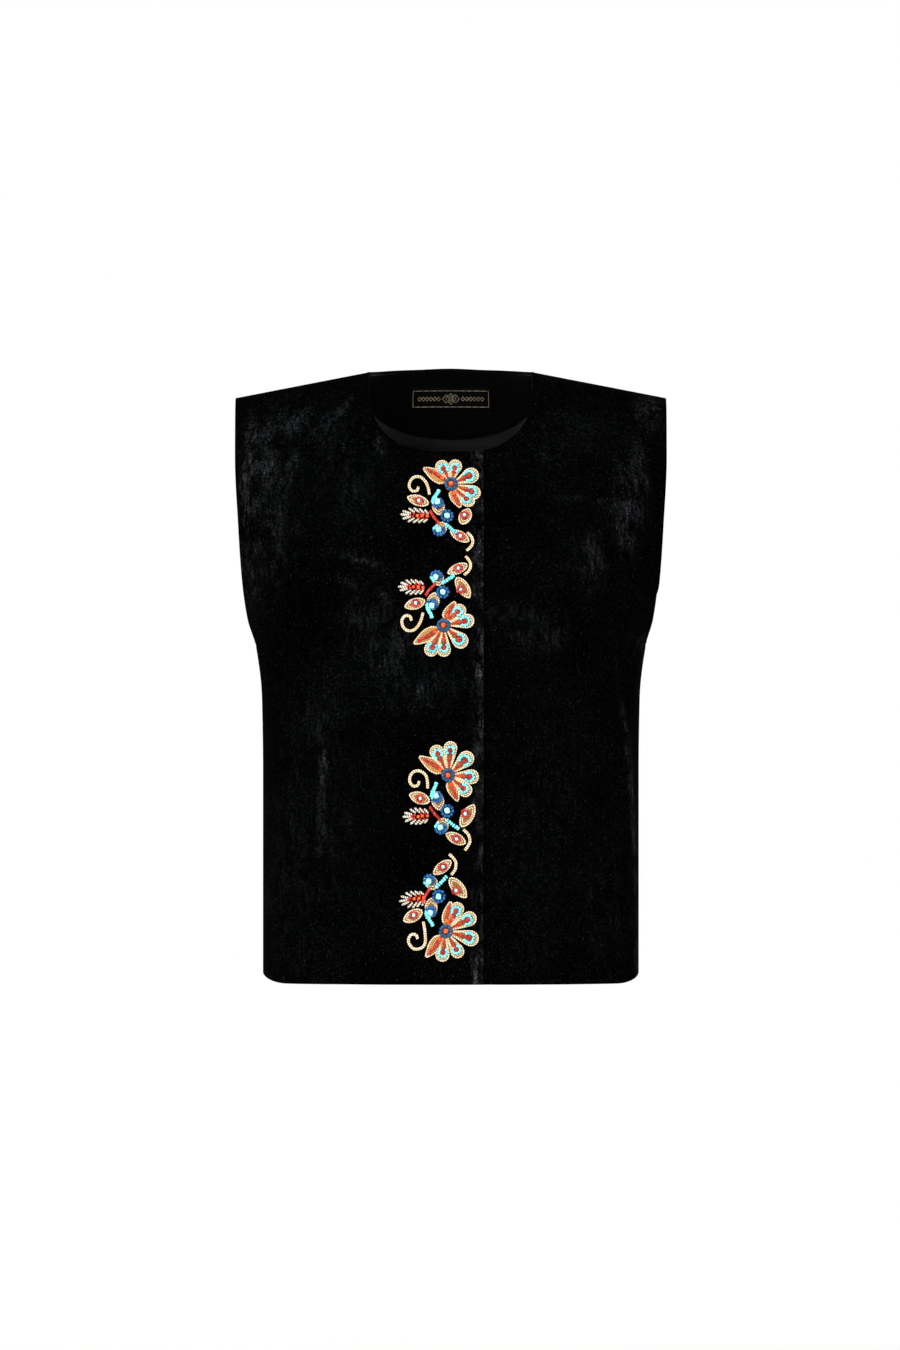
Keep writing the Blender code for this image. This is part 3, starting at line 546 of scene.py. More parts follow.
def grid_normals(points):
    """Unit normals of a grid of points, from the steps to the neighbours in both directions."""
    return unit(np.cross(np.gradient(points, axis=0), np.gradient(points, axis=1)))


def arc_lengths(points, axis):
    """Distance along each grid line from its first point."""
    steps = np.linalg.norm(np.diff(points, axis=axis), axis=-1)
    start = np.zeros_like(np.take(steps, [0], axis=axis))
    return np.concatenate([start, np.cumsum(steps, axis=axis)], axis=axis)


def column_ends(counts, start, front):
    """Top (across, height) and bottom across of a half panel's columns, crowded at both sides."""
    power = 2 / NECK_POWER
    near = start + np.array(EDGE_STEPS)
    first = math.copysign(math.asin(abs(near[-1] / NECK_HALF_WIDTH) ** (1 / power)), near[-1])
    turn = np.linspace(first, math.pi / 2, counts["neck"] + 1)[1:]
    neck = NECK_HALF_WIDTH * np.sign(turn) * np.abs(np.sin(turn)) ** power
    neck = np.append(near, neck)
    share = np.clip(np.abs(neck) / NECK_HALF_WIDTH, 0.0, 1.0)
    if front:
        drop = (1 - share**NECK_POWER) ** (1 / NECK_POWER)
        neck_height = NECK_POINT_HEIGHT - FRONT_NECK_DROP * drop
    else:
        neck_height = BACK_NECK_HEIGHT - (BACK_NECK_HEIGHT - NECK_POINT_HEIGHT) * share**2
    last = SHOULDER_HALF_WIDTH - np.array(EDGE_STEPS)[::-1]
    shoulder = np.append(np.linspace(NECK_HALF_WIDTH, last[0], counts["shoulder"] + 1)[1:-1], last)
    top = np.append(neck, shoulder)
    height = np.append(neck_height, ridge_height(shoulder))

    width, depth = SECTIONS[0].half_width, SECTIONS[0].front_depth
    seam_turn = np.arccos((np.array(EDGE_STEPS)[::-1] / depth) ** (SECTION_POWER / 2))
    middle = len(top) - len(near) - len(seam_turn)
    middle_turn = np.linspace(math.asin(near[-1] / width), seam_turn[0], middle + 2)[1:-1]
    bottom = np.concatenate([near, width * np.sin(middle_turn), width * np.sin(seam_turn)])
    return top, height, bottom


def half_panel(counts, start, front, gape=0.0):
    """(across, height) of a half panel's grid: level rows, then rows that fan out over the roll."""
    top, height_top, bottom = column_ends(counts, start, front)
    steps = np.array(EDGE_STEPS)
    below = np.append(steps, np.linspace(steps[-1], UNDERARM_HEIGHT, counts["below"] + 1)[1:])
    turn = np.linspace(0, math.pi / 2, counts["beside"] + 1)[1:]
    beside = UNDERARM_HEIGHT + (ROLL_START_HEIGHT - UNDERARM_HEIGHT) * (1 - np.cos(turn))
    level = np.append(below, beside)
    roll = ridge_height(top) - ROLL_START_HEIGHT
    last = np.arcsin(np.clip((height_top - ROLL_START_HEIGHT) / roll, 0.0, 1.0))
    near = ROLL_START_HEIGHT + roll * np.sin(last * 0.99)
    last_step = base_point(top, near, front) - base_point(top, height_top, front)
    scale = np.linalg.norm(last_step, axis=-1) / 0.01
    ends = 1 - steps[::-1][None, :] / scale[:, None]
    spread = np.linspace(0, 1, counts["roll"] + 1)[1:-1]
    fan = np.hstack([spread[None, :] * ends[:, :1], ends])
    fan = ROLL_START_HEIGHT + roll[:, None] * np.sin(last[:, None] * fan)
    height = np.hstack([np.tile(level, (len(top), 1)), fan])
    low_share = (bottom - start) / (SECTIONS[0].half_width - start)
    high_share = (top - start) / (SHOULDER_HALF_WIDTH - start)
    blend = smooth_step(height, 0.25, height_top[:, None])
    share = low_share[:, None] * (1 - blend) + high_share[:, None] * blend
    across = start + (edge_across(height, gape) - start) * share
    before_seam = (1 - np.clip(low_share, 0.0, 1.0) ** SECTION_POWER) ** (1 / SECTION_POWER)
    corner = HEM_CORNER * (1 - smooth_step(before_seam, 0.0, HEM_CORNER_SHARE))[:, None]
    return across, height + corner * np.clip(1 - height / HEM_RISE_FADE, 0.0, 1.0)


def soft_ripple(x, height, seed):
    """Slow unevenness of hung cloth: a few long waves at fixed angles, about half a millimetre."""
    rng = np.random.default_rng(seed)
    out = np.zeros_like(x)
    for wave in rng.uniform(0.045, 0.11, 7):
        angle, phase = rng.uniform(-0.9, 0.9), rng.uniform(0, 2 * math.pi)
        out += np.sin(2 * math.pi * (x * math.cos(angle) + height * math.sin(angle)) / wave + phase)
    return 0.00016 * out


def shaped(points, x, height, folds, creases, seed):
    """The grid with folds, creases and ripple, which die out towards the sides and shoulders."""
    away = np.abs(x) / edge_across(height)
    ridge = (ridge_height(x) - height) / 0.03
    hold = (1 - smooth_step(away, 0.90, 0.995)) * np.clip(ridge, 0.0, 1.0)
    lift = fold_depth(x, height, folds) * hold
    soft_hold = (1 - smooth_step(away, 0.97, 1.0)) * np.clip(ridge, 0.0, 1.0)
    lift += (fold_depth(x, height, creases) + soft_ripple(x, height, seed)) * soft_hold
    return points + grid_normals(points) * lift[..., None]


def seam_dips(points, x, height, sides):
    """The cloth sinks a little towards the side seams and the shoulder seams."""
    dip = np.zeros_like(x)
    low = height < UNDERARM_HEIGHT + 0.004
    for side in sides:
        length = arc_lengths(points, 0)
        away = length if side < 0 else length[-1:] - length
        dip += np.where(low, np.exp(-((away / SEAM_DIP_WIDTH) ** 2)), 0.0)
    from_top = arc_lengths(points, 1)
    from_top = from_top[:, -1:] - from_top
    on_shoulder = np.abs(x[:, -1:]) > NECK_HALF_WIDTH
    dip += np.where(on_shoulder, np.exp(-((from_top / SEAM_DIP_WIDTH) ** 2)), 0.0)
    return points - grid_normals(points) * (SEAM_DIP * np.minimum(dip, 1.0))[..., None]


def patch_light(x, height, patches):
    """How far the pile is crushed towards the light, painted as sheen: at each point the strongest
    soft oval.
    """
    light = np.zeros_like(x)
    for patch in patches:
        turn = math.radians(patch.turn)
        off_x, off_height = x - patch.x, height - patch.height
        along = (off_x * math.sin(turn) + off_height * math.cos(turn)) / patch.half_height
        across = (off_x * math.cos(turn) - off_height * math.sin(turn)) / patch.half_width
        light = np.maximum(light, patch.strength * np.exp(-0.5 * (along**2 + across**2) ** 1.2))
    return light


def edge_light(x, height):
    """Light on the rolled front edge: a soft band, brightest on the roll, of changing strength."""
    edge = UPPER_EDGE_X - x
    band = 1 - smooth_step(edge, 0.0050, 0.0150)
    band *= 0.75 + 0.6 * np.exp(-(((edge - 0.0022) / 0.0022) ** 2))
    glow = np.array(EDGE_GLOW)
    return band * np.interp(height, glow[:, 0], glow[:, 1])


def shell_parts(points, thickness):
    """Vertices, faces, UVs and border distances of a closed wall whose borders are half round.

    Outer and inner face stand half a thickness to each side of the middle. At the border each
    closes on it in a quarter ellipse."""
    normal = grid_normals(points)
    across, along = arc_lengths(points, 0), arc_lengths(points, 1)
    border = np.minimum.reduce([across, across[-1:] - across, along, along[:, -1:] - along])
    half = thickness / 2
    round_off = np.sqrt(1 - (1 - np.clip(border / half, 0.0, 1.0)) ** 2)
    middle = points - normal * half
    outer = middle + normal * (half * round_off)[..., None]
    inner = middle - normal * (half * round_off)[..., None]
    columns, rows = points.shape[:2]
    index = np.arange(columns * rows).reshape(columns, rows)
    inside = np.full((columns, rows), -1)
    inner_count = (columns - 2) * (rows - 2)
    inside[1:-1, 1:-1] = columns * rows + np.arange(inner_count).reshape(columns - 2, rows - 2)
    inner_index = np.where(inside >= 0, inside, index)

    def quads(i):
        return np.stack([i[:-1, :-1], i[1:, :-1], i[1:, 1:], i[:-1, 1:]], axis=-1).reshape(-1, 4)

    vertices = np.vstack([outer.reshape(-1, 3), inner[1:-1, 1:-1].reshape(-1, 3)])
    faces = np.vstack([quads(index), quads(inner_index)[:, ::-1]])
    measure = np.stack([across, along], axis=-1)
    uv = np.vstack([measure.reshape(-1, 2), measure[1:-1, 1:-1].reshape(-1, 2)])
    face_border = (border[:-1, :-1] + border[1:, 1:]) / 2
    return vertices, faces, uv, face_border.ravel()


def add_piece(name, vertices, faces, materials, uv=None, slots=None, values=None):
    """Puts a mesh into the scene as one smooth piece, with its UV map and point values."""
    mesh = bpy.data.meshes.new(name)
    mesh.from_pydata(vertices.tolist(), [], faces if isinstance(faces, list) else faces.tolist())
    for material in materials:
        mesh.materials.append(material)
    mesh.polygons.foreach_set("use_smooth", np.ones(len(mesh.polygons), dtype=bool))
    corner = np.zeros(len(mesh.loops), dtype=np.int32)
    mesh.loops.foreach_get("vertex_index", corner)
    if uv is not None:
        layer = mesh.uv_layers.new(name="UVMap")
        layer.data.foreach_set("uv", uv[corner].ravel().astype(np.float32))
    if slots is not None:
        mesh.polygons.foreach_set("material_index", slots.astype(np.int32))
    for label, numbers in (values or {}).items():
        layer = mesh.attributes.new(label, "FLOAT", "POINT")
        layer.data.foreach_set("value", numbers.astype(np.float32))
    mesh.update()
    piece = bpy.data.objects.new(name, mesh)
    bpy.context.scene.collection.objects.link(piece)
    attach(piece, "root")
    return piece


def front_grid(side, start_x, gape):
    """(x, height, points) of one front: side -1 is the wearer's right one, and 1 the left one."""
    across, height = half_panel(FRONT_COUNTS, start_x * side, True, gape)
    x = across * side
    if side < 0:
        x, height = x[::-1], height[::-1]
    points = base_point(x, height, True)
    points = shaped(points, x, height, FRONT_FOLDS, FRONT_CREASES, 11)
    if side > 0:
        under = 1 - smooth_step(x, UPPER_EDGE_X + 0.002, UPPER_EDGE_X + LAP_FADE)
        points = points - grid_normals(points) * (LAP_STEP * under)[..., None]
    points = seam_dips(points, x, height, (side,))
    return x, height, points


def back_grid(counts):
    """(x, height, points) of the back, from the wearer's left side to the right one."""
    across, height = half_panel(counts, 0.0, False)
    keep = [0, *range(len(EDGE_STEPS) - 1, len(across))]
    across, height = across[keep], height[keep]
    x = np.concatenate([across[::-1], -across[1:]])
    height = np.concatenate([height[::-1], height[1:]])
    points = base_point(x, height, False)
    points = shaped(points, x, height, BACK_FOLDS, BACK_CREASES, 23)
    return x, height, seam_dips(points, x, height, (-1, 1))


class Parts:
    """Gathers the vertices, faces, UVs and material slots of one joined piece."""

    def __init__(self):
        self.vertices, self.faces, self.uvs, self.slots, self.count = [], [], [], [], 0

    def add(self, rings, poles, uv, slot=0, flip=False):
        """Adds rings of points, closed at one pole before the first ring and one after the last."""
        rows, around = rings.shape[:2]
        index = self.count + np.arange(rows * around).reshape(rows, around)
        ahead = np.roll(index, -1, axis=1)
        pole = self.count + rows * around
        faces = np.stack([index[:-1], ahead[:-1], ahead[1:], index[1:]], -1).reshape(-1, 4).tolist()
        faces += np.stack([ahead[0], index[0], np.full(around, pole)], -1).tolist()
        faces += np.stack([index[-1], ahead[-1], np.full(around, pole + 1)], -1).tolist()
        self.vertices += [rings.reshape(-1, 3), poles]
        self.faces += [face[::-1] for face in faces] if flip else faces
        self.uvs.append(uv)
        self.slots += [slot] * len(faces)
        self.count = pole + 2

    def tube(self, centre, normal, length, wide, high, reach=0.0, slot=0, pole_turn=0.5):
        """Adds a tube along a line. Each ring stands on the surface's normal and across the line.

        A ring's points are wide times the cosine across and high times the sine up. Each end closes
        in a point that lies reach beyond it, with pole_turn as its UV's second number."""
        along = unit(np.gradient(centre, axis=0))
        side = unit(np.cross(normal, along))
        up = np.cross(along, side)
        rings = side[:, None, :] * (wide * np.cos(AROUND_WIRE))[..., None]
        rings = rings + up[:, None, :] * (high * np.sin(AROUND_WIRE))[..., None]
        poles = centre[[0, -1]] + along[[0, -1]] * np.array([[-reach], [reach]])
        u, v = np.meshgrid(length, AROUND_WIRE / (2 * math.pi), indexing="ij")
        pole_uv = [[0, pole_turn], [length[-1], pole_turn]]
        uv = np.vstack([np.stack([u, v], -1).reshape(-1, 2), pole_uv])
        self.add(centre[:, None, :] + rings, poles, uv, slot)

    def build(self, name, materials):
        """Puts all that was gathered into the scene as one piece."""
        return add_piece(name, np.vstack(self.vertices), self.faces, materials,
                         np.vstack(self.uvs), np.array(self.slots))


def spray_place(spray, x, y):
    """(x, height) on the vest of a point drawn in the spray's own millimetres."""
    turn = math.radians(spray.turn)
    below = y + FLOWER_EYE_RADIUS
    y = np.where(below < 0, -FLOWER_EYE_RADIUS + below * spray.stem_scale, y)
    along = x * math.cos(turn) - y * math.sin(turn)
    up = x * math.sin(turn) + y * math.cos(turn)
    return spray.x + along / 1000, spray.height + spray.way * up / 1000


def smooth_route(points, step):
    """A smooth curve through given points (Catmull-Rom), resampled at an even step."""
    known = np.array(points, float)
    padded = np.vstack([2 * known[0] - known[1], known, 2 * known[-1] - known[-2]])
    at = np.linspace(0, len(known) - 1.000001, 24 * len(known))
    i = at.astype(int)
    t = (at - i)[:, None]
    before, here, ahead, after = (padded[i + k] for k in range(4))
    fine = 0.5 * (
        2 * here
        + (ahead - before) * t
        + (2 * before - 5 * here + 4 * ahead - after) * t**2
        + (3 * here - before - 3 * ahead + after) * t**3
    )
    length = np.append(0, np.cumsum(np.linalg.norm(np.diff(fine, axis=0), axis=1)))
    stops = np.linspace(0, length[-1], max(3, int(round(length[-1] / step)) + 1))
    return np.stack([np.interp(stops, length, fine[:, k]) for k in range(fine.shape[1])], axis=1)


def turned(u, v, angle, x=0.0, y=0.0):
    """Points (u along, v across) of a shape that lies at an angle in degrees, about (x, y)."""
    u, v, turn = np.asarray(u), np.asarray(v), math.radians(angle)
    return np.stack([x + u * math.cos(turn) - v * math.sin(turn),
                     y + u * math.sin(turn) + v * math.cos(turn)], -1)


def petal_path(petal, inset):
    """Outline of a petal, drawn in by inset: out along a flank, round the tip and back."""
    half = petal.width / 2 - inset
    tip = petal.reach - inset * (2.2 if petal.pointed else 1.0)
    if petal.pointed:
        u = np.array([PETAL_START, 0.33 * tip, 0.55 * tip, 0.78 * tip, tip])
        v = np.array([0.30, 0.88, 1.0, 0.66, 0.03]) * half
    else:
        end = tip - half
        u = np.array([PETAL_START, 0.30 * tip + 4.6, end - 0.2 * half, end + 0.5 * half,
                      end + 0.87 * half, tip])
        v = np.array([0.26, 0.60, 0.98, 0.86, 0.50, 0.0]) * half
    return turned(np.append(u, u[-2::-1]), np.append(v, -v[-2::-1]), petal.angle)


def leaf_path(leaf, inset):
    """Closed outline of a leaf, drawn in by inset: an oval whose far end runs to a point."""
    share = np.linspace(0, 2 * math.pi, 19)
    power = np.where(np.cos(share) > 0, 0.75, 0.15)
    u = (leaf.length / 2 + 0.8 - 1.8 * inset) * np.cos(share)
    v = (leaf.width / 2 - inset) * np.sin(share) * np.abs(np.sin(share)) ** power
    return turned(u, v, leaf.angle, leaf.x, leaf.y)


def side_by_side(path, shift):
    """A path moved sideways by shift."""
    along = unit(np.gradient(path, axis=0))
    return path + np.stack([-along[:, 1], along[:, 0]], axis=1) * shift


def petals_of(spray):
    """The petals of one spray's flower."""
    flower = FLOWERS[spray.name]
    pointed = np.arange(len(PETAL_WIDTHS)) >= ROUND_PETALS
    return [Petal(*row) for row in zip(flower.angles, flower.reaches, PETAL_WIDTHS, pointed)]


def shift_of(spray, piece):
    """How a motif of this spray differs from the others' one."""
    return SHIFTS.get((spray.name, piece), NO_SHIFT)


def shifted_route(spray, piece, route):
    """A wire's points, moved by its shift. The tendril's start stays in its place."""
    shift = shift_of(spray, piece)
    held = SHIFT_POINTS if piece == "tendril" else 0
    share = [min(i / held, 1.0) if held else 1.0 for i in range(len(route))]
    return [(x + shift.x * part, y + shift.y * part) for (x, y), part in zip(route, share)]


def in_ear(spray, x, y):
    """A point of the ear after this spray's shift."""
    ear = shift_of(spray, "ear")
    return EAR_X + (x - EAR_X) * ear.stretch + ear.x, y + ear.y


def leaves_of(spray):
    """The leaves of one spray, with their eyes, after its shifts."""
    leaves = []
    for leaf in LEAVES:
        shift = shift_of(spray, leaf.name)
        eye = shift.stretch**3
        leaves.append(leaf._replace(
            x=leaf.x + shift.x, y=leaf.y + shift.y, angle=leaf.angle + shift.angle,
            length=leaf.length * shift.stretch,
            eye_x=leaf.x + (leaf.eye_x - leaf.x) * eye + shift.x,
            eye_y=leaf.y + (leaf.eye_y - leaf.y) * eye + shift.y))
    return leaves


def goldwork_routes(spray):
    """The couched wires of a spray: pale rims and deeper fills, each as (route, radius, lift)."""
    rims, fills = [], []
    inner, innermost = WIRE_INSET + WIRE_PITCH, WIRE_INSET + 2 * WIRE_PITCH
    for petal in petals_of(spray):
        rims.append((smooth_route(petal_path(petal, WIRE_INSET), WIRE_STEP), RIM_WIRE, RIM_LIFT))
        second = fills if petal.pointed else rims
        second.append((smooth_route(petal_path(petal, inner), WIRE_STEP), INNER_WIRE, INNER_LIFT))
        whole = smooth_route(petal_path(petal, innermost), WIRE_STEP)
        cut = int(len(whole) * FLANK_SHARE)
        flanks = (whole[:cut], whole[len(whole) - cut:])
        pieces = (whole[: len(whole) // 2 - 2],) if petal.pointed else flanks
        fills += [(piece, LINE_WIRE, LINE_LIFT) for piece in pieces]
    for leaf in (*leaves_of(spray), *BRACTS):
        rims.append((smooth_route(leaf_path(leaf, WIRE_INSET), WIRE_STEP), RIM_WIRE, RIM_LIFT))
        rims.append((smooth_route(leaf_path(leaf, inner), WIRE_STEP), INNER_WIRE, INNER_LIFT))
    tendril = smooth_route(shifted_route(spray, "tendril", TENDRIL), WIRE_STEP)
    tail = smooth_route(shifted_route(spray, "tail", TAIL), WIRE_STEP)
    for shift in (-CORD_OFFSET, CORD_OFFSET):
        rims += [(side_by_side(path, shift), CORD_WIRE, CORD_LIFT) for path in (tendril, tail)]
    return rims, fills


def row_along(points, spacing, radius, lift, turn=0.0):
    """Beads strung along a path: (x, y, direction, radius, half length, lift) of each."""
    path = smooth_route(points, spacing)
    way = np.gradient(path, axis=0)
    rows = np.empty((len(path), 6))
    rows[:, :2], rows[:, 2] = path, np.arctan2(way[:, 1], way[:, 0]) + turn
    rows[:, 3:] = radius, BEAD_FILL * spacing, lift
    return rows


def ring_of(x, y, ring, turn=0.0):
    """Beads on an arc about (x, y), strung along it and turned by an angle in degrees."""
    angle = np.radians(np.linspace(turn + ring.first, turn + ring.last, ring.count))
    rows = np.empty((ring.count, 6))
    rows[:, 0], rows[:, 1] = x + ring.radius * np.cos(angle), y + ring.radius * np.sin(angle)
    rows[:, 2] = angle + math.pi / 2
    arc = math.radians(ring.last - ring.first)
    rows[:, 3:] = ring.bead, BEAD_FILL * ring.radius * arc / (ring.count - 1), ring.lift
    return rows


def one_bead(x, y, bead, lift, angle=0.35):
    """A single bead, as a row of one."""
    return np.array([[x, y, angle, bead, 0.88 * bead, lift]])


def bead_rows(spray):
    """Every bead of a spray by colour: rows of (x, y, direction, radius, half length, lift)."""
    rows = {"turquoise": [], "cobalt": [], "red": [], "coral": [], "aqua": []}
    rows["cobalt"].append(ring_of(0, 0, EYE_RING))
    rows["coral"].append(one_bead(0, 0, *EYE_BEAD))
    for petal in petals_of(spray):
        if petal.pointed:
            along = [POINT_START, petal.reach * POINT_END_SHARE]
            ends = turned(along, POINT_OFFSETS, petal.angle)
            rows["red"].append(row_along(ends, STACK_SPACING, *POINT_STACK))
            x, y = turned(*BASE_PLACE, petal.angle)
            rows["coral"].append(one_bead(x, y, *BASE_BEAD, math.radians(petal.angle)))
            continue
        radius = petal.width / 2 - ARCH_INSET
        heart = petal.reach - petal.width / 2 - HEART_INSET
        x, y = turned(heart, 0.0, petal.angle)
        count = int(round(radius * math.radians(2 * ARCH_ANGLE) / BEAD_SPACING)) + 1
        arch = Ring(radius, count, -ARCH_ANGLE, ARCH_ANGLE, ARCH_BEAD, BEAD_LIFT)
        rows["turquoise"].append(ring_of(x, y, arch, petal.angle))
        rows["red"].append(ring_of(x, y, HEART_RING, petal.angle))
        ends = turned([STACK_START, heart - HEART_GAP], [0.0, 0.0], petal.angle)
        rows["red"].append(row_along(ends, STACK_SPACING, *PETAL_STACK))
    for leaf in leaves_of(spray):
        rows["red"].append(ring_of(leaf.eye_x, leaf.eye_y, LEAF_RING))
        rows["aqua"].append(one_bead(leaf.eye_x, leaf.eye_y, *LEAF_BEAD))
    for disc in MEDALLIONS:
        first, last, radius = disc.first_angle, disc.last_angle, disc.radius - DISC_INSET
        count = int(round(radius * math.radians(last - first) / DISC_SPACING)) + 1
        outer = Ring(radius, count, first, last, DISC_RING_BEAD, BEAD_LIFT)
        rows["cobalt"].append(ring_of(disc.x, disc.y, outer))
        if disc.name != "medallion_middle":
            inner = Ring(radius - DISC_STEP, 3, first + DISC_CUT, last - DISC_CUT, 1.4,
                         BEAD_LIFT + 0.3)
            rows["cobalt"].append(ring_of(disc.x + DISC_SHIFT, disc.y - DISC_SHIFT, inner))
            rows["turquoise"].append(ring_of(disc.centre_x, disc.centre_y, BESIDE_RING))
        rows["aqua"].append(one_bead(disc.centre_x, disc.centre_y, *DISC_BEAD))
    for stem in TURQUOISE_STEMS:
        rows["turquoise"].append(row_along(stem, BEAD_SPACING, *TURQUOISE_STRING))
    for stem in RED_STEMS:
        rows["red"].append(row_along(stem, STACK_SPACING, *RED_STRING))
    ears = (("coral", EAR_CORALS, STEM_LIFT + 0.5), ("red", EAR_REDS, STEM_LIFT))
    for colour, table, lift in ears:
        for x, y, radius in table:
            rows[colour].append(one_bead(*in_ear(spray, x, y), radius, lift, math.pi / 2))
    return {colour: np.vstack(found) for colour, found in rows.items()}


def add_wires(parts, spray, routes, slot=0):
    """Adds coiled wires laid on the front, each given as (route, radius, lift) in millimetres.

    The radius swells and shrinks in a fine helix and falls away at both ends."""
    for route, radius, lift in routes:
        x, height = spray_place(spray, route[:, 0], route[:, 1])
        centre, normal = front_surface(x, height, np.full(len(x), lift / 1000))
        number = np.arange(len(route))
        length = number * WIRE_STEP
        ends = np.minimum(number, number[::-1])
        taper = np.where(ends == 0, 0.55, np.where(ends == 1, 0.9, 1.0))
        helix = AROUND_WIRE[None, :] - 2 * math.pi * length[:, None] / CORD_PITCH
        wide = radius / 1000 * taper[:, None] * (1 + CORD_SWELL * np.cos(helix))
        parts.tube(centre, normal, length, wide, wide, 0.4 * radius / 1000, slot)


def add_pad(parts, spray, centre, outline, crown, angle, slot):
    """Adds a low domed pad: rings of its outline, shrunk about the centre, on the cloth.

    The UV's first number runs across the threads, which lie at an angle in degrees or fan out."""
    dome = np.array(PAD_DOME)
    shares = np.append(PAD_FOOT, dome[:, 0])[:, None]
    lifts = np.append(np.full(len(PAD_FOOT), PAD_BELOW), dome[:, 1] * crown)
    away_u = (outline[:, 0] - centre[0])[None, :] * shares
    away_v = (outline[:, 1] - centre[1])[None, :] * shares
    lift = np.repeat(lifts[:, None] / 1000, len(outline), axis=1)
    rings, _ = front_surface(*spray_place(spray, centre[0] + away_u, centre[1] + away_v), lift)
    middle = spray_place(spray, np.full(2, centre[0]), np.full(2, centre[1]))
    poles, _ = front_surface(*middle, np.array([PAD_BELOW, crown]) / 1000)
    away_u, away_v = away_u.ravel(), away_v.ravel()
    if angle is None:
        across, along = np.arctan2(away_v, away_u) * FAN_RADIUS, np.hypot(away_u, away_v)
    else:
        along, across = turned(away_u, away_v, -angle).T
    uv = np.vstack([np.stack([across, along], 1), np.zeros((2, 2))])
    parts.add(rings, poles, uv, slot, spray.way < 0)


def flower_outline(spray, count=180):
    """Closed outline of the flower about its eye: the furthest petal edge in each direction."""
    turn = np.linspace(-math.pi, math.pi, count, endpoint=False)
    reach = np.full_like(turn, FLOWER_EYE_RADIUS - 1.0)
    for petal in petals_of(spray):
        path = smooth_route(petal_path(petal, 0.5), 0.4)
        middle = math.radians(petal.angle)
        angle = np.arctan2(path[:, 1], path[:, 0])
        angle = middle + (angle - middle + math.pi) % (2 * math.pi) - math.pi
        for shift in (-2 * math.pi, 0, 2 * math.pi):
            slot = np.round((angle + shift + math.pi) / (2 * math.pi) * count).astype(int)
            good = (slot >= 0) & (slot < count)
            np.maximum.at(reach, slot[good], np.hypot(path[good, 0], path[good, 1]))
    return np.stack([reach * np.cos(turn), reach * np.sin(turn)], axis=1)


def bead_parts(spray, beads, sides, steps, first):
    """Vertices and faces of seed beads laid on the front.

    One bead is a ring of oval section turned about its thread. Each is set by its place, its
    thread's direction and its size."""
    around = np.linspace(0, 2 * math.pi, sides, endpoint=False)
    section = np.radians(np.append(np.linspace(-105, 105, steps - 1), 180))
    radial, axial = 0.56 + 0.44 * np.cos(section), np.sin(section)
    x, y, way, radius, half_length, lift = beads.T
    ahead = spray_place(spray, x + BEAD_NUDGE * np.cos(way), y + BEAD_NUDGE * np.sin(way))
    centre, normal = front_surface(*spray_place(spray, x, y), lift / 1000)
    thread = unit(front_surface(*ahead, lift / 1000)[0] - centre)
    side = unit(np.cross(normal, thread))
    out = side[:, None, :] * np.cos(around)[None, :, None]
    out = out + normal[:, None, :] * np.sin(around)[None, :, None]
    outward = out[:, :, None, :] * (radius[:, None] / 1000 * radial)[:, None, :, None]
    along = thread[:, None, None, :] * (half_length[:, None] / 1000 * axial)[:, None, :, None]
    index = first + np.arange(len(beads) * sides * steps).reshape(len(beads), sides, steps)
    next_ring, next_step = np.roll(index, -1, axis=1), np.roll(index, -1, axis=2)
    faces = np.stack([index, next_step, np.roll(next_ring, -1, axis=2), next_ring], axis=-1)
    return (centre[:, None, None, :] + outward + along).reshape(-1, 3), faces.reshape(-1, 4)


def hand_set(beads, seed):
    """The beads a little off their places, threads and sizes, as a hand sets them."""
    rng = np.random.default_rng(seed)
    beads = beads.copy()
    beads[:, :2] += rng.normal(0, 0.10, (len(beads), 2))
    beads[:, 2] += rng.normal(0, 0.10, len(beads))
    beads[:, 3] *= rng.uniform(0.94, 1.05, len(beads))
    return beads


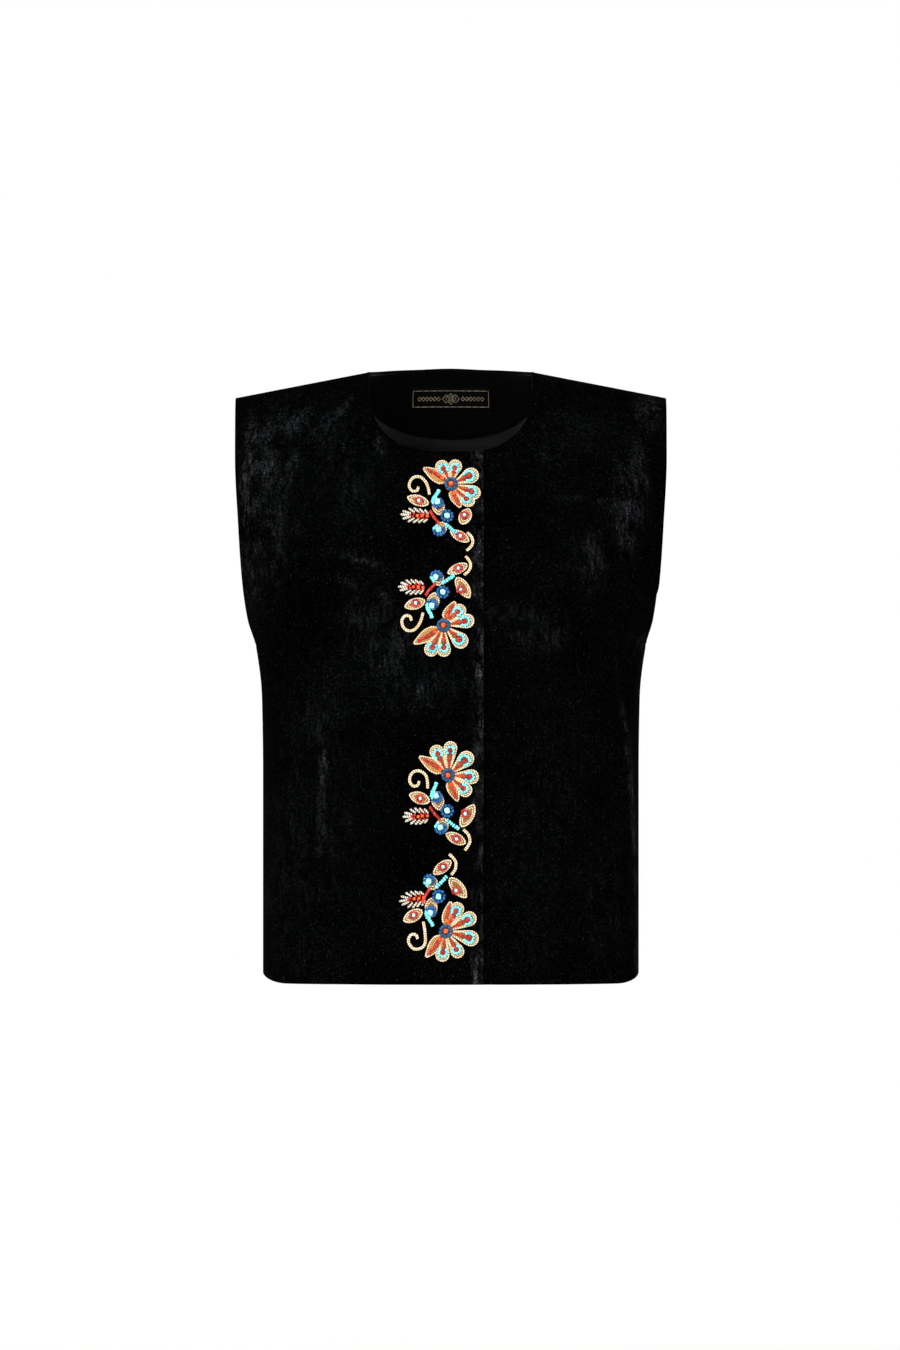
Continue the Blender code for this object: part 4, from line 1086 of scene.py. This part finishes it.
class NodeSheet:
    """A small helper that adds and joins the nodes of one shader tree."""

    def __init__(self, tree):
        self.tree = tree

    def join(self, value, socket):
        """Joins another node's output to an input socket, or sets the socket to a plain value."""
        if isinstance(value, bpy.types.NodeSocket):
            self.tree.links.new(value, socket)
        else:
            socket.default_value = value

    def add(self, kind, output, inputs=None, **settings):
        """Adds a node with its properties and inputs, and returns one of its outputs."""
        node = self.tree.nodes.new(kind)
        for name, value in settings.items():
            setattr(node, name, value)
        for place, value in (inputs or {}).items():
            self.join(value, node.inputs[place])
        return node.outputs[output]

    def tone(self, name):
        """A noise of the TONES table, from Object coordinates in metres, carried to its span."""
        tone = TONES[name]
        where = {"Vector": self.add("ShaderNodeTexCoord", "Object"), "Scale": tone.stretch,
                 "Rotation": (0.0, tone.lean, 0.0)}
        noise = {"Vector": self.add("ShaderNodeMapping", "Vector", where), "Scale": tone.scale,
                 "Detail": tone.detail, "Roughness": tone.roughness}
        value = self.add("ShaderNodeTexNoise", "Fac", noise)
        return self.span(value, tone.low, tone.high, tone.out_low, tone.out_high)

    def uv(self):
        """The piece's own UV."""
        return self.add("ShaderNodeUVMap", "UV", uv_map="UVMap")

    def uv_parts(self):
        """The two numbers of the piece's own UV."""
        parts = self.add("ShaderNodeSeparateXYZ", "X", {"Vector": self.uv()}).node
        return parts.outputs["X"], parts.outputs["Y"]

    def span(self, value, low, high, out_low=0.0, out_high=1.0):
        """Carries a value from one span to another, held inside it."""
        inputs = {"Value": value, "From Min": low, "From Max": high,
                  "To Min": out_low, "To Max": out_high}
        return self.add("ShaderNodeMapRange", "Result", inputs)

    def math(self, operation, *values):
        """Joins sockets or plain numbers one after another by a sum, a product or the like."""
        result = values[0]
        for value in values[1:]:
            result = self.add("ShaderNodeMath", "Value", {0: result, 1: value}, operation=operation)
        return result

    def mix(self, factor, first, second):
        """Mixes two colours, each a socket or a plain colour."""
        inputs = {"Factor": factor, 6: first, 7: second}
        return self.add("ShaderNodeMix", 2, inputs, data_type="RGBA")


class Finish(NodeSheet):
    """The nodes of one material and its shader."""

    def __init__(self, name, **constants):
        """Sets the shader's own sockets. An underscore in a name stands for a space."""
        self.material = bpy.data.materials.new(name)
        self.material.use_nodes = True
        super().__init__(self.material.node_tree)
        self.shader = self.tree.nodes["Principled BSDF"]
        for label, value in constants.items():
            self.shader.inputs[label.replace("_", " ")].default_value = value

    def paint(self, colour):
        """Carries a colour into the shader."""
        self.join(colour, self.shader.inputs["Base Color"])

    def gloss(self, tone, low, high):
        """Lets the roughness follow a tone between two values."""
        self.join(self.span(tone, 0.0, 1.0, low, high), self.shader.inputs["Roughness"])

    def bump(self, height, strength, distance):
        """Carries a height into the shader's normal."""
        inputs = {"Strength": strength, "Distance": distance, "Height": height}
        self.join(self.add("ShaderNodeBump", "Normal", inputs), self.shader.inputs["Normal"])


def shaded(colour, share):
    """A colour darkened to a share of itself."""
    return (*(share * part for part in colour[:3]), 1.0)


def velvet_material(cloth):
    """Black pile velvet: near black ground, painted sheen in crushed streaks, and painted glints in
    a grain of tufts and a few sparks.
    """
    sheet = Finish("velvet_pile", Roughness=1.0, Sheen_Weight=0.0055, Sheen_Roughness=0.30,
                   Sheen_Tint=(0.68, 0.70, 0.76, 1.0), Specular_IOR_Level=0.0)
    nap = sheet.add("ShaderNodeAttribute", "Fac", attribute_name="nap")
    streak = sheet.tone("streak")
    tuft = sheet.math("POWER", sheet.tone("tuft"), 1.6)
    grain = sheet.span(tuft, 0.0, 1.0, 0.20, 3.2)
    # Painted sheen: the crushed ovals and the rolled edge's band, lightened by noise
    crushed = sheet.math("MULTIPLY", nap, sheet.tone("mottle"), streak, grain)
    # Painted glints: fine specks in the tufts' grain and a few sparks
    pile_glints = sheet.math("MULTIPLY", tuft, sheet.tone("cloud"), 0.22)
    pile_glints = sheet.math("ADD", pile_glints, sheet.tone("spark"))
    light = sheet.math("MINIMUM", sheet.math("ADD", crushed, pile_glints), 1.0)
    sheet.paint(sheet.mix(light, cloth.velvet, cloth.nap))
    sheet.bump(sheet.math("ADD", sheet.math("MULTIPLY", tuft, 0.5), streak), 0.35, 0.0006)
    return sheet.material


def woven(name, colour, share, threads, weft_share, relief, gloss=None, **constants):
    """Woven cloth: slow changes of tone down to a share of its colour, and a plain weave's height.

    It is counted on the piece's UV in warp threads for each metre. The weft is a share of it."""
    sheet = Finish(name, **constants)
    tone = sheet.tone(name)
    sheet.paint(sheet.mix(tone, shaded(colour, share), colour))
    if gloss:
        sheet.gloss(tone, *gloss)
    u, v = sheet.uv_parts()
    turns = threads * 2 * math.pi
    warp = sheet.math("SINE", sheet.math("MULTIPLY", u, turns), 0.0)
    weft = sheet.math("SINE", sheet.math("MULTIPLY", v, turns * weft_share), 0.0)
    sheet.bump(sheet.math("MULTIPLY", warp, weft), relief, 0.0002)
    return sheet.material


def lining_material(cloth):
    """Dark satin lining: fine weft ribs, a soft gloss, and streaks of painted sheen along soft
    creases.
    """
    return woven("satin_lining", cloth.lining, 0.45, 1500.0, 0.25, 0.12, (0.36, 0.48),
                 Specular_IOR_Level=0.20, Sheen_Weight=0.02)


def facing_material(cloth):
    """Matt dark facing cloth with a fine plain weave."""
    return woven("neck_facing", cloth.facing, 0.7, 900.0, 1.0, 0.25,
                 Roughness=0.85, Specular_IOR_Level=0.02, Sheen_Weight=0.006)


def label_material(cloth):
    """Black woven taffeta with close ribs."""
    return woven("label_taffeta", cloth.label, 0.6, 1600.0, 1.0, 0.35,
                 Roughness=0.7, Specular_IOR_Level=0.04)


def wire_material(name, bright, shade_colour, rough=0.30):
    """Coiled metal thread: painted highlight and shade in a tone that changes along its length, and
    painted shade in dark grooves between its turns.
    """
    sheet = Finish(name, Metallic=0.15, Specular_IOR_Level=0.5)
    u, v = sheet.uv_parts()
    turns = sheet.math("SUBTRACT", v, sheet.math("DIVIDE", u, CORD_PITCH))
    coil = sheet.math("COSINE", sheet.math("MULTIPLY", turns, 2 * math.pi), 0.0)
    # Painted highlight and shade: the tone mixes the thread's shaded and lit colours
    tone = sheet.tone("thread")
    # Painted shade in the grooves between the coil's turns
    groove_shade = sheet.span(coil, -0.90, -0.10)
    sheet.paint(sheet.mix(groove_shade, shaded(shade_colour, 0.14), sheet.mix(tone, shade_colour, bright)))
    sheet.gloss(tone, rough, rough + 0.18)
    sheet.bump(coil, 0.5, 0.0003)
    return sheet.material


def padding_material(gold):
    """Gold satin stitches over the pads, in the fill wires' painted shade colour: close threads
    side by side, near black between them.
    """
    sheet = Finish("gold_padding", Metallic=0.15, Roughness=0.45)
    wave = {"Scale": 0.62, "Distortion": 1.2, "Vector": sheet.uv()}
    thread = sheet.add("ShaderNodeTexWave", "Fac", wave)
    # The pad's darker gold is painted shade under the couched wires
    colour = sheet.mix(sheet.tone("padding"), shaded(gold, 0.60), gold)
    sheet.paint(sheet.mix(sheet.span(thread, 0.35, 0.9), shaded(gold, 0.12), colour))
    sheet.bump(thread, 0.5, 0.0003)
    return sheet.material


def bead_material(name, colour):
    """Pressed glass: a tone that shifts from bead to bead and a clear gloss."""
    sheet = Finish(f"{name}_glass", Specular_IOR_Level=0.30)
    tone = sheet.tone("glass")
    pale = (*(min(1.0, 0.01 + 1.20 * part) for part in colour[:3]), 1.0)
    sheet.paint(sheet.mix(tone, shaded(colour, 0.55), pale))
    sheet.gloss(tone, 0.10, 0.18)
    return sheet.material


def floor_material(colour):
    """Plain pale floor with a faint change of tone."""
    sheet = Finish("studio_floor", Roughness=0.9, Specular_IOR_Level=0.1)
    sheet.paint(sheet.mix(sheet.tone("floor"), shaded(colour, 0.97), colour))
    return sheet.material


def tint(name, description, *default):
    """A colour that a user may change, with its alpha kept at 1."""
    return FloatVectorProperty(name=name, description=description, default=(*default, 1.0),
                               size=4, min=0.0, max=1.0, subtype="COLOR")


def metres(name, description, default, **limits):
    """A length in metres that a user may change."""
    return FloatProperty(name=name, description=description, default=default, unit="LENGTH",
                         subtype="DISTANCE", precision=4, **limits)


def level(name, description, default, subtype="NONE"):
    """A strength or power that a user may change."""
    return FloatProperty(name=name, description=description, default=default, min=0.0,
                         subtype=subtype)


class VestCloth(bpy.types.PropertyGroup):
    """Sizes and colours of the vest's cloths."""

    wall: metres("Velvet wall", "Thickness of the velvet with its backing", 0.0022, min=0.0)
    velvet: tint("Velvet", "Ground colour of the velvet", 0.0002, 0.0002, 0.0002)
    # Colour that the painted sheen and glints lighten the velvet towards
    nap: tint("Nap", "Colour of the pile where it lies crushed towards the light",
              0.045, 0.046, 0.051)
    lining: tint("Lining", "Colour of the satin lining", 0.0062, 0.0062, 0.0065)
    facing: tint("Facing", "Colour of the back neck facing", 0.0007, 0.0007, 0.0008)
    label: tint("Label", "Ground colour of the woven label", 0.0008, 0.0008, 0.0008)


class VestEmbroidery(bpy.types.PropertyGroup):
    """Colours of the metal threads and the beads."""

    # Each thread has a lit and a shaded colour, mixed along it as painted highlight and shade
    gold: tint("Gold", "Bright colour of the rims' gold thread", 1.00, 0.90, 0.67)
    rim_shade: tint("Gold, shaded", "Deeper colour of the rims' gold thread", 0.82, 0.54, 0.25)
    fill: tint("Orange gold", "Bright colour of the gold that fills the motifs", 1.00, 0.54, 0.15)
    # Painted shade colour of the fill wires, also the padding's darker gold
    fill_shade_gold: tint("Old gold", "Deeper colour of the gold that fills the motifs",
                   0.66, 0.29, 0.06)
    label_gold: tint("Label gold", "Colour of the label's woven frame", 0.64, 0.56, 0.36)
    label_shade: tint("Label gold, shaded", "Deeper colour of the label's woven frame",
                      0.26, 0.22, 0.12)
    silver: tint("Silver", "Colour of the pale metal thread", 0.80, 0.76, 0.68)
    silver_shade: tint("Silver, shaded", "Deeper colour of the pale metal thread",
                       0.62, 0.52, 0.36)
    turquoise: tint("Turquoise", "Colour of the turquoise beads", 0.20, 0.86, 0.94)
    cobalt: tint("Cobalt", "Colour of the blue beads", 0.000, 0.075, 0.24)
    red: tint("Red", "Colour of the red beads", 0.50, 0.022, 0.012)
    coral: tint("Coral", "Colour of the coral beads", 0.78, 0.085, 0.012)
    aqua: tint("Aqua", "Colour of the pale blue beads", 0.38, 0.80, 0.84)


class VestStage(bpy.types.PropertyGroup):
    """The floor, the lights and the camera."""

    floor: tint("Floor", "Colour of the floor", 0.92, 0.92, 0.91)
    floor_drop: metres("Floor", "How far the floor lies below the neck", 1.40, min=0.0)
    camera_distance: metres("Camera distance", "From the side seams' plane to the camera", 12.0,
                            min=0.0)
    view_height: metres("View height", "Height of what the camera sees in that plane", 1.2825,
                        min=0.0)
    aim_x: metres("Aim across", "How far to the wearer's left the camera aims", -0.0008)
    aim_height: metres("Aim", "Height that the camera aims at", -0.28785)
    surround: level("Surround", "Strength of the light from all round", 0.30)
    overhead: level("Overhead", "Strength of the light from above", 1.30)
    key_power: level("Key light", "Power of the key light", 120.0, "POWER")
    back_power: level("Back light", "Power of the light behind the vest", 100.0, "POWER")
    fill_power: level("Fill light", "Power of the fill light", 30.0, "POWER")


class VEST_OT_velvet(bpy.types.Operator):
    """Builds the back and the two fronts as velvet shells"""

    bl_idname = "vest.velvet"
    bl_label = "Build Velvet Panels"

    def execute(self, context):
        cloth = context.scene.vest_cloth
        materials = (velvet_material(cloth), lining_material(cloth), facing_material(cloth))
        fronts = (("front_right_velvet", "front_right", -1, UPPER_EDGE_X, 0.0),
                  ("front_left_velvet", "front_left", 1, LOWER_EDGE_X, ARMHOLE_GAPE))
        for name, node, side, start, gape in fronts:
            x, height, points = front_grid(side, start, gape)
            # Painted sheen on the crushed pile, and on the right front a band of painted light
            # along its rolled edge
            nap = patch_light(x, height, FRONT_PATCHES)
            if side < 0:
                nap = np.maximum(nap, edge_light(x, height))
            piece = self.panel(name, points, nap, materials, cloth.wall)
            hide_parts(node)
        x, height, points = back_grid(BACK_COUNTS)
        nap = patch_light(x, height, BACK_PATCHES)
        piece = self.panel("back_velvet", points, nap, materials, cloth.wall)
        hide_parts("back")
        return {"FINISHED"}

    @staticmethod
    def panel(name, points, nap, materials, wall):
        """One velvet panel. Its inner face is lined in satin, with a facing along its edges."""
        vertices, faces, uv, border = shell_parts(points, wall)
        slots = np.concatenate([np.zeros(len(border)), np.where(border > INNER_FACING, 1, 2)])
        values = {"nap": np.concatenate([nap.ravel(), nap[1:-1, 1:-1].ravel()])}
        piece = add_piece(name, vertices, faces, materials, uv, slots, values)
        return piece


class VEST_OT_inside(bpy.types.Operator):
    """Builds the back's lining, its neck facing and the woven label"""

    bl_idname = "vest.inside"
    bl_label = "Build Lining, Facing and Label"

    def execute(self, context):
        cloth = context.scene.vest_cloth
        x, _, points = back_grid(LAYER_COUNTS)
        normal = grid_normals(points)
        depth = cloth.wall + LAYER_GAP
        edge = len(EDGE_STEPS) + 1
        lining = (points - normal * depth)[edge:-edge, LINING_ROWS]
        piece = self.layer("back_lining_satin", lining, LINING_WALL, lining_material(cloth),
                           "lining", "back_lining")

        depth += LINING_WALL + LAYER_GAP
        facing = self.crescent(x, points - normal * depth)
        piece = self.layer("back_neck_facing_cloth", facing, LINING_WALL, facing_material(cloth),
                           "facing", "back_neck_facing")

        depth += LINING_WALL + LABEL_GAP
        columns = np.linspace(LABEL_WIDTH / 2, -LABEL_WIDTH / 2, 61)
        rows = LABEL_CENTRE_HEIGHT + np.linspace(-LABEL_HEIGHT / 2, LABEL_HEIGHT / 2, 25)
        label = base_point(*np.meshgrid(columns, rows, indexing="ij"), False)
        label = label - grid_normals(label) * depth
        piece = self.layer("label_taffeta", label, LABEL_WALL, label_material(cloth),
                           "label", "label")
        self.ornament(context.scene.vest_embroidery, depth + LABEL_WALL)
        return {"FINISHED"}

    @staticmethod
    def layer(name, points, wall, material, slot, node):
        """One layer of cloth inside the back."""
        vertices, faces, uv, _ = shell_parts(points, wall)
        piece = add_piece(name, vertices, faces, [material], uv)
        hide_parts(node)
        return piece

    @staticmethod
    def crescent(x, inside):
        """The facing's grid: the back's upper rows, moved up the columns towards both ends."""
        below = LAYER_COUNTS["below"] + LAYER_COUNTS["beside"] + len(EDGE_STEPS)
        first = below + int(LAYER_COUNTS["roll"] * FACING_SHARE)
        facing = inside[np.abs(x[:, -1]) <= FACING_SHOULDER_X][:, first:]
        rise = FACING_CURVE * np.abs(facing[:, :1, 0] / FACING_SHOULDER_X) ** 2
        last = facing.shape[1] - 1
        at = (rise + (1 - rise) * np.linspace(0, 1, last + 1)[None, :]) * last
        low = np.minimum(at.astype(int), last - 1)
        column = np.arange(facing.shape[0])[:, None]
        step = facing[column, low + 1] - facing[column, low]
        return facing[column, low] + step * (at - low)[..., None]

    @staticmethod
    def ornament(colours, depth):
        """The label's woven frame and a row of plain lozenges, as flat gold threads proud of it."""
        gold = wire_material("label_gold_thread", colours.label_gold, colours.label_shade, 0.5)
        half = np.array([LABEL_WIDTH / 2, LABEL_HEIGHT / 2]) - LABEL_MARGIN
        outlines = [(np.array([(-1, -1), (1, -1), (1, 1), (-1, 1), (-1, -1)]) * half, 30)]
        for middle, size, width in LOZENGES:
            diamond = np.array([(-1.1, 0), (0, 1), (1.1, 0), (0, -1), (-1.1, 0)])
            outlines.append((diamond * size * (width, 1.0) + (middle, 0), 6))
        parts = Parts()
        for corners, count in outlines:
            for start, end in zip(corners[:-1], corners[1:]):
                x = np.linspace(start[0], end[0], count)
                height = LABEL_CENTRE_HEIGHT + np.linspace(start[1], end[1], count)
                normal = face_normal(x, height, False)
                centre = base_point(x, height, False) - normal * depth
                parts.tube(centre, normal, np.arange(count) * LABEL_THREAD_STEP, *LABEL_THREAD,
                           pole_turn=0.0)
        parts.build("label_gold_threads", [gold])


class VEST_OT_goldwork(bpy.types.Operator):
    """Builds the padded gold and silver thread of the four sprays"""

    bl_idname = "vest.goldwork"
    bl_label = "Build Goldwork"

    def execute(self, context):
        colours = context.scene.vest_embroidery
        gold = [wire_material("gold_rim_thread", colours.gold, colours.rim_shade),
                wire_material("gold_fill_thread", colours.fill, colours.fill_shade_gold),
                padding_material(colours.fill_shade_gold)]
        pale = wire_material("silver_thread", colours.silver, colours.silver_shade, 0.26)
        for spray in SPRAYS:
            self.goldwork(spray, gold)
            self.prongs(spray, pale)
        return {"FINISHED"}

    @staticmethod
    def goldwork(spray, materials):
        """One spray's pads with the rims and fills that are couched over them."""
        rims, fills = goldwork_routes(spray)
        parts = Parts()
        add_wires(parts, spray, rims, 0)
        add_wires(parts, spray, fills, 1)
        add_pad(parts, spray, (0.0, 0.0), flower_outline(spray), FLOWER_CROWN, None, 2)
        for leaf in (*leaves_of(spray), *BRACTS):
            outline = leaf_path(leaf, 0.4)[:-1]
            outline = smooth_route(np.vstack([outline, outline[:1]]), 1.0)[:-1]
            add_pad(parts, spray, (leaf.x, leaf.y), outline, LEAF_CROWN, leaf.angle, 2)
        piece = parts.build(f"{spray.name}_goldwork", materials)
        nodes = ("flower", "leaf_left", "leaf_right", "leaf_low", "tendril", "tail")
        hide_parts(*(f"{spray.name}_{node}" for node in nodes))

    @staticmethod
    def prongs(spray, material):
        """The pale prongs of one spray's ear, a little longer than their table's rows."""
        routes = []
        for (root_x, root_y), (tip_x, tip_y) in EAR_PRONGS:
            tip_x, tip_y = (root_x + (tip_x - root_x) * PRONG_REACH,
                            root_y + (tip_y - root_y) * PRONG_REACH)
            route = np.array([in_ear(spray, root_x, root_y), in_ear(spray, tip_x, tip_y)])
            radius = THIN_PRONG if route[0, 0] > PRONG_SPLIT_X else THICK_PRONG
            routes.append((smooth_route(route, WIRE_STEP), radius, PRONG_LIFT))
        parts = Parts()
        add_wires(parts, spray, routes)
        piece = parts.build(f"{spray.name}_silver_prongs", [material])
        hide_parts(f"{spray.name}_ear")


class VEST_OT_beads(bpy.types.Operator):
    """Builds the beads of the four sprays, one joined mesh for each colour"""

    bl_idname = "vest.beads"
    bl_label = "Build Beads"

    def execute(self, context):
        colours = context.scene.vest_embroidery
        glass = {}
        for number, spray in enumerate(SPRAYS):
            for name, beads in bead_rows(spray).items():
                if name not in glass:
                    glass[name] = bead_material(name, getattr(colours, name))
                beads = hand_set(beads, FIRST_BEAD_SEED + number)
                large = beads[:, 3] > LARGE_BEAD
                small, faces = bead_parts(spray, beads[~large], *SMALL_BEAD_FACES, 0)
                big, more = bead_parts(spray, beads[large], *LARGE_BEAD_FACES, len(small))
                piece = add_piece(f"{spray.name}_{name}_beads", np.vstack([small, big]),
                                  np.vstack([faces, more]), [glass[name]])
                if name == "cobalt":
                    nodes = ("medallion_upper", "medallion_middle", "medallion_lower")
                    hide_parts(*(f"{spray.name}_{node}" for node in nodes))
        return {"FINISHED"}


class VEST_OT_stage(bpy.types.Operator):
    """Sets the floor, the soft studio light and the camera"""

    bl_idname = "vest.stage"
    bl_label = "Set Stage"

    def execute(self, context):
        scene, stage = context.scene, context.scene.vest_stage
        around = np.linspace(0, 2 * math.pi, FLOOR_SIDES, endpoint=False)
        rim = np.stack([FLOOR_RADIUS * np.cos(around), FLOOR_RADIUS * np.sin(around),
                        np.full(FLOOR_SIDES, -stage.floor_drop)], 1)
        mesh = bpy.data.meshes.new("floor")
        mesh.from_pydata(rim.tolist(), [], [list(range(FLOOR_SIDES))])
        mesh.materials.append(floor_material(stage.floor))
        floor = bpy.data.objects.new("floor", mesh)
        scene.collection.objects.link(floor)
        self.sky(scene, stage)
        self.lamp("key_light", (-1.7, -2.6, 1.4), 1.0, stage.key_power)
        self.lamp("fill_light", (2.2, -2.2, 0.2), 2.0, stage.fill_power)
        self.lamp("back_light", (1.5, 2.8, 1.3), 1.2, stage.back_power)
        camera = bpy.data.objects.new("camera", bpy.data.cameras.new("camera"))
        camera.data.sensor_width = SENSOR_WIDTH
        camera.data.lens = SENSOR_WIDTH * stage.camera_distance / stage.view_height
        camera.data.clip_start, camera.data.clip_end = 0.1, 100.0
        camera.location = (stage.aim_x, -stage.camera_distance, stage.aim_height)
        camera.rotation_euler = (math.pi / 2, 0.0, 0.0)
        scene.collection.objects.link(camera)
        scene.camera = camera
        scene.view_settings.view_transform = "Standard"
        return {"FINISHED"}

    @staticmethod
    def sky(scene, stage):
        """White light from all round, stronger from above. The camera sees a plain white ground."""
        world = bpy.data.worlds.new("studio")
        world.use_nodes = True
        sheet, sky = NodeSheet(world.node_tree), world.node_tree.nodes["Background"]
        sky.inputs["Color"].default_value = (1.0, 1.0, 1.0, 1.0)
        way = sheet.add("ShaderNodeTexCoord", "Generated")
        up = sheet.add("ShaderNodeSeparateXYZ", "Z", {"Vector": way})
        rise = sheet.span(up, -0.2, 0.9, stage.surround, stage.overhead)
        seen = sheet.add("ShaderNodeLightPath", "Is Camera Ray")
        sheet.join(sheet.span(seen, 0.0, 1.0, rise, 1.0), sky.inputs["Strength"])
        scene.world = world

    @staticmethod
    def lamp(name, place, size, power):
        """A soft square light that looks at the vest."""
        light = bpy.data.lights.new(name, "AREA")
        light.shape, light.size, light.energy = "SQUARE", size, power
        lamp = bpy.data.objects.new(name, light)
        lamp.location = place
        aim = Vector(LIGHT_AIM) - Vector(place)
        lamp.rotation_euler = aim.to_track_quat("-Z", "Y").to_euler()
        bpy.context.scene.collection.objects.link(lamp)


class VEST_PT_sidebar(bpy.types.Panel):
    """Lists the vest's sizes, colours and steps"""

    bl_label = "Velvet Vest"
    bl_idname = "VEST_PT_sidebar"
    bl_space_type = "VIEW_3D"
    bl_region_type = "UI"
    bl_category = "Vest"

    def draw(self, context):
        scene = context.scene
        for group in (scene.vest_cloth, scene.vest_embroidery, scene.vest_stage):
            box = self.layout.box()
            for name in group.__annotations__:
                box.prop(group, name)
        for operator in OPERATORS:
            self.layout.operator(operator.bl_idname)


OPERATORS = (VEST_OT_velvet, VEST_OT_inside, VEST_OT_goldwork, VEST_OT_beads, VEST_OT_stage)
CLASSES = (VestCloth, VestEmbroidery, VestStage, *OPERATORS, VEST_PT_sidebar)


def register():
    for item in CLASSES:
        bpy.utils.register_class(item)
    bpy.types.Scene.vest_cloth = PointerProperty(type=VestCloth)
    bpy.types.Scene.vest_embroidery = PointerProperty(type=VestEmbroidery)
    bpy.types.Scene.vest_stage = PointerProperty(type=VestStage)


def unregister():
    del bpy.types.Scene.vest_cloth
    del bpy.types.Scene.vest_embroidery
    del bpy.types.Scene.vest_stage
    for item in reversed(CLASSES):
        bpy.utils.unregister_class(item)


def main():
    register()
    bpy.ops.vest.velvet()
    bpy.ops.vest.inside()
    bpy.ops.vest.goldwork()
    bpy.ops.vest.beads()
    bpy.ops.vest.stage()


if __name__ == "__main__":
    main()
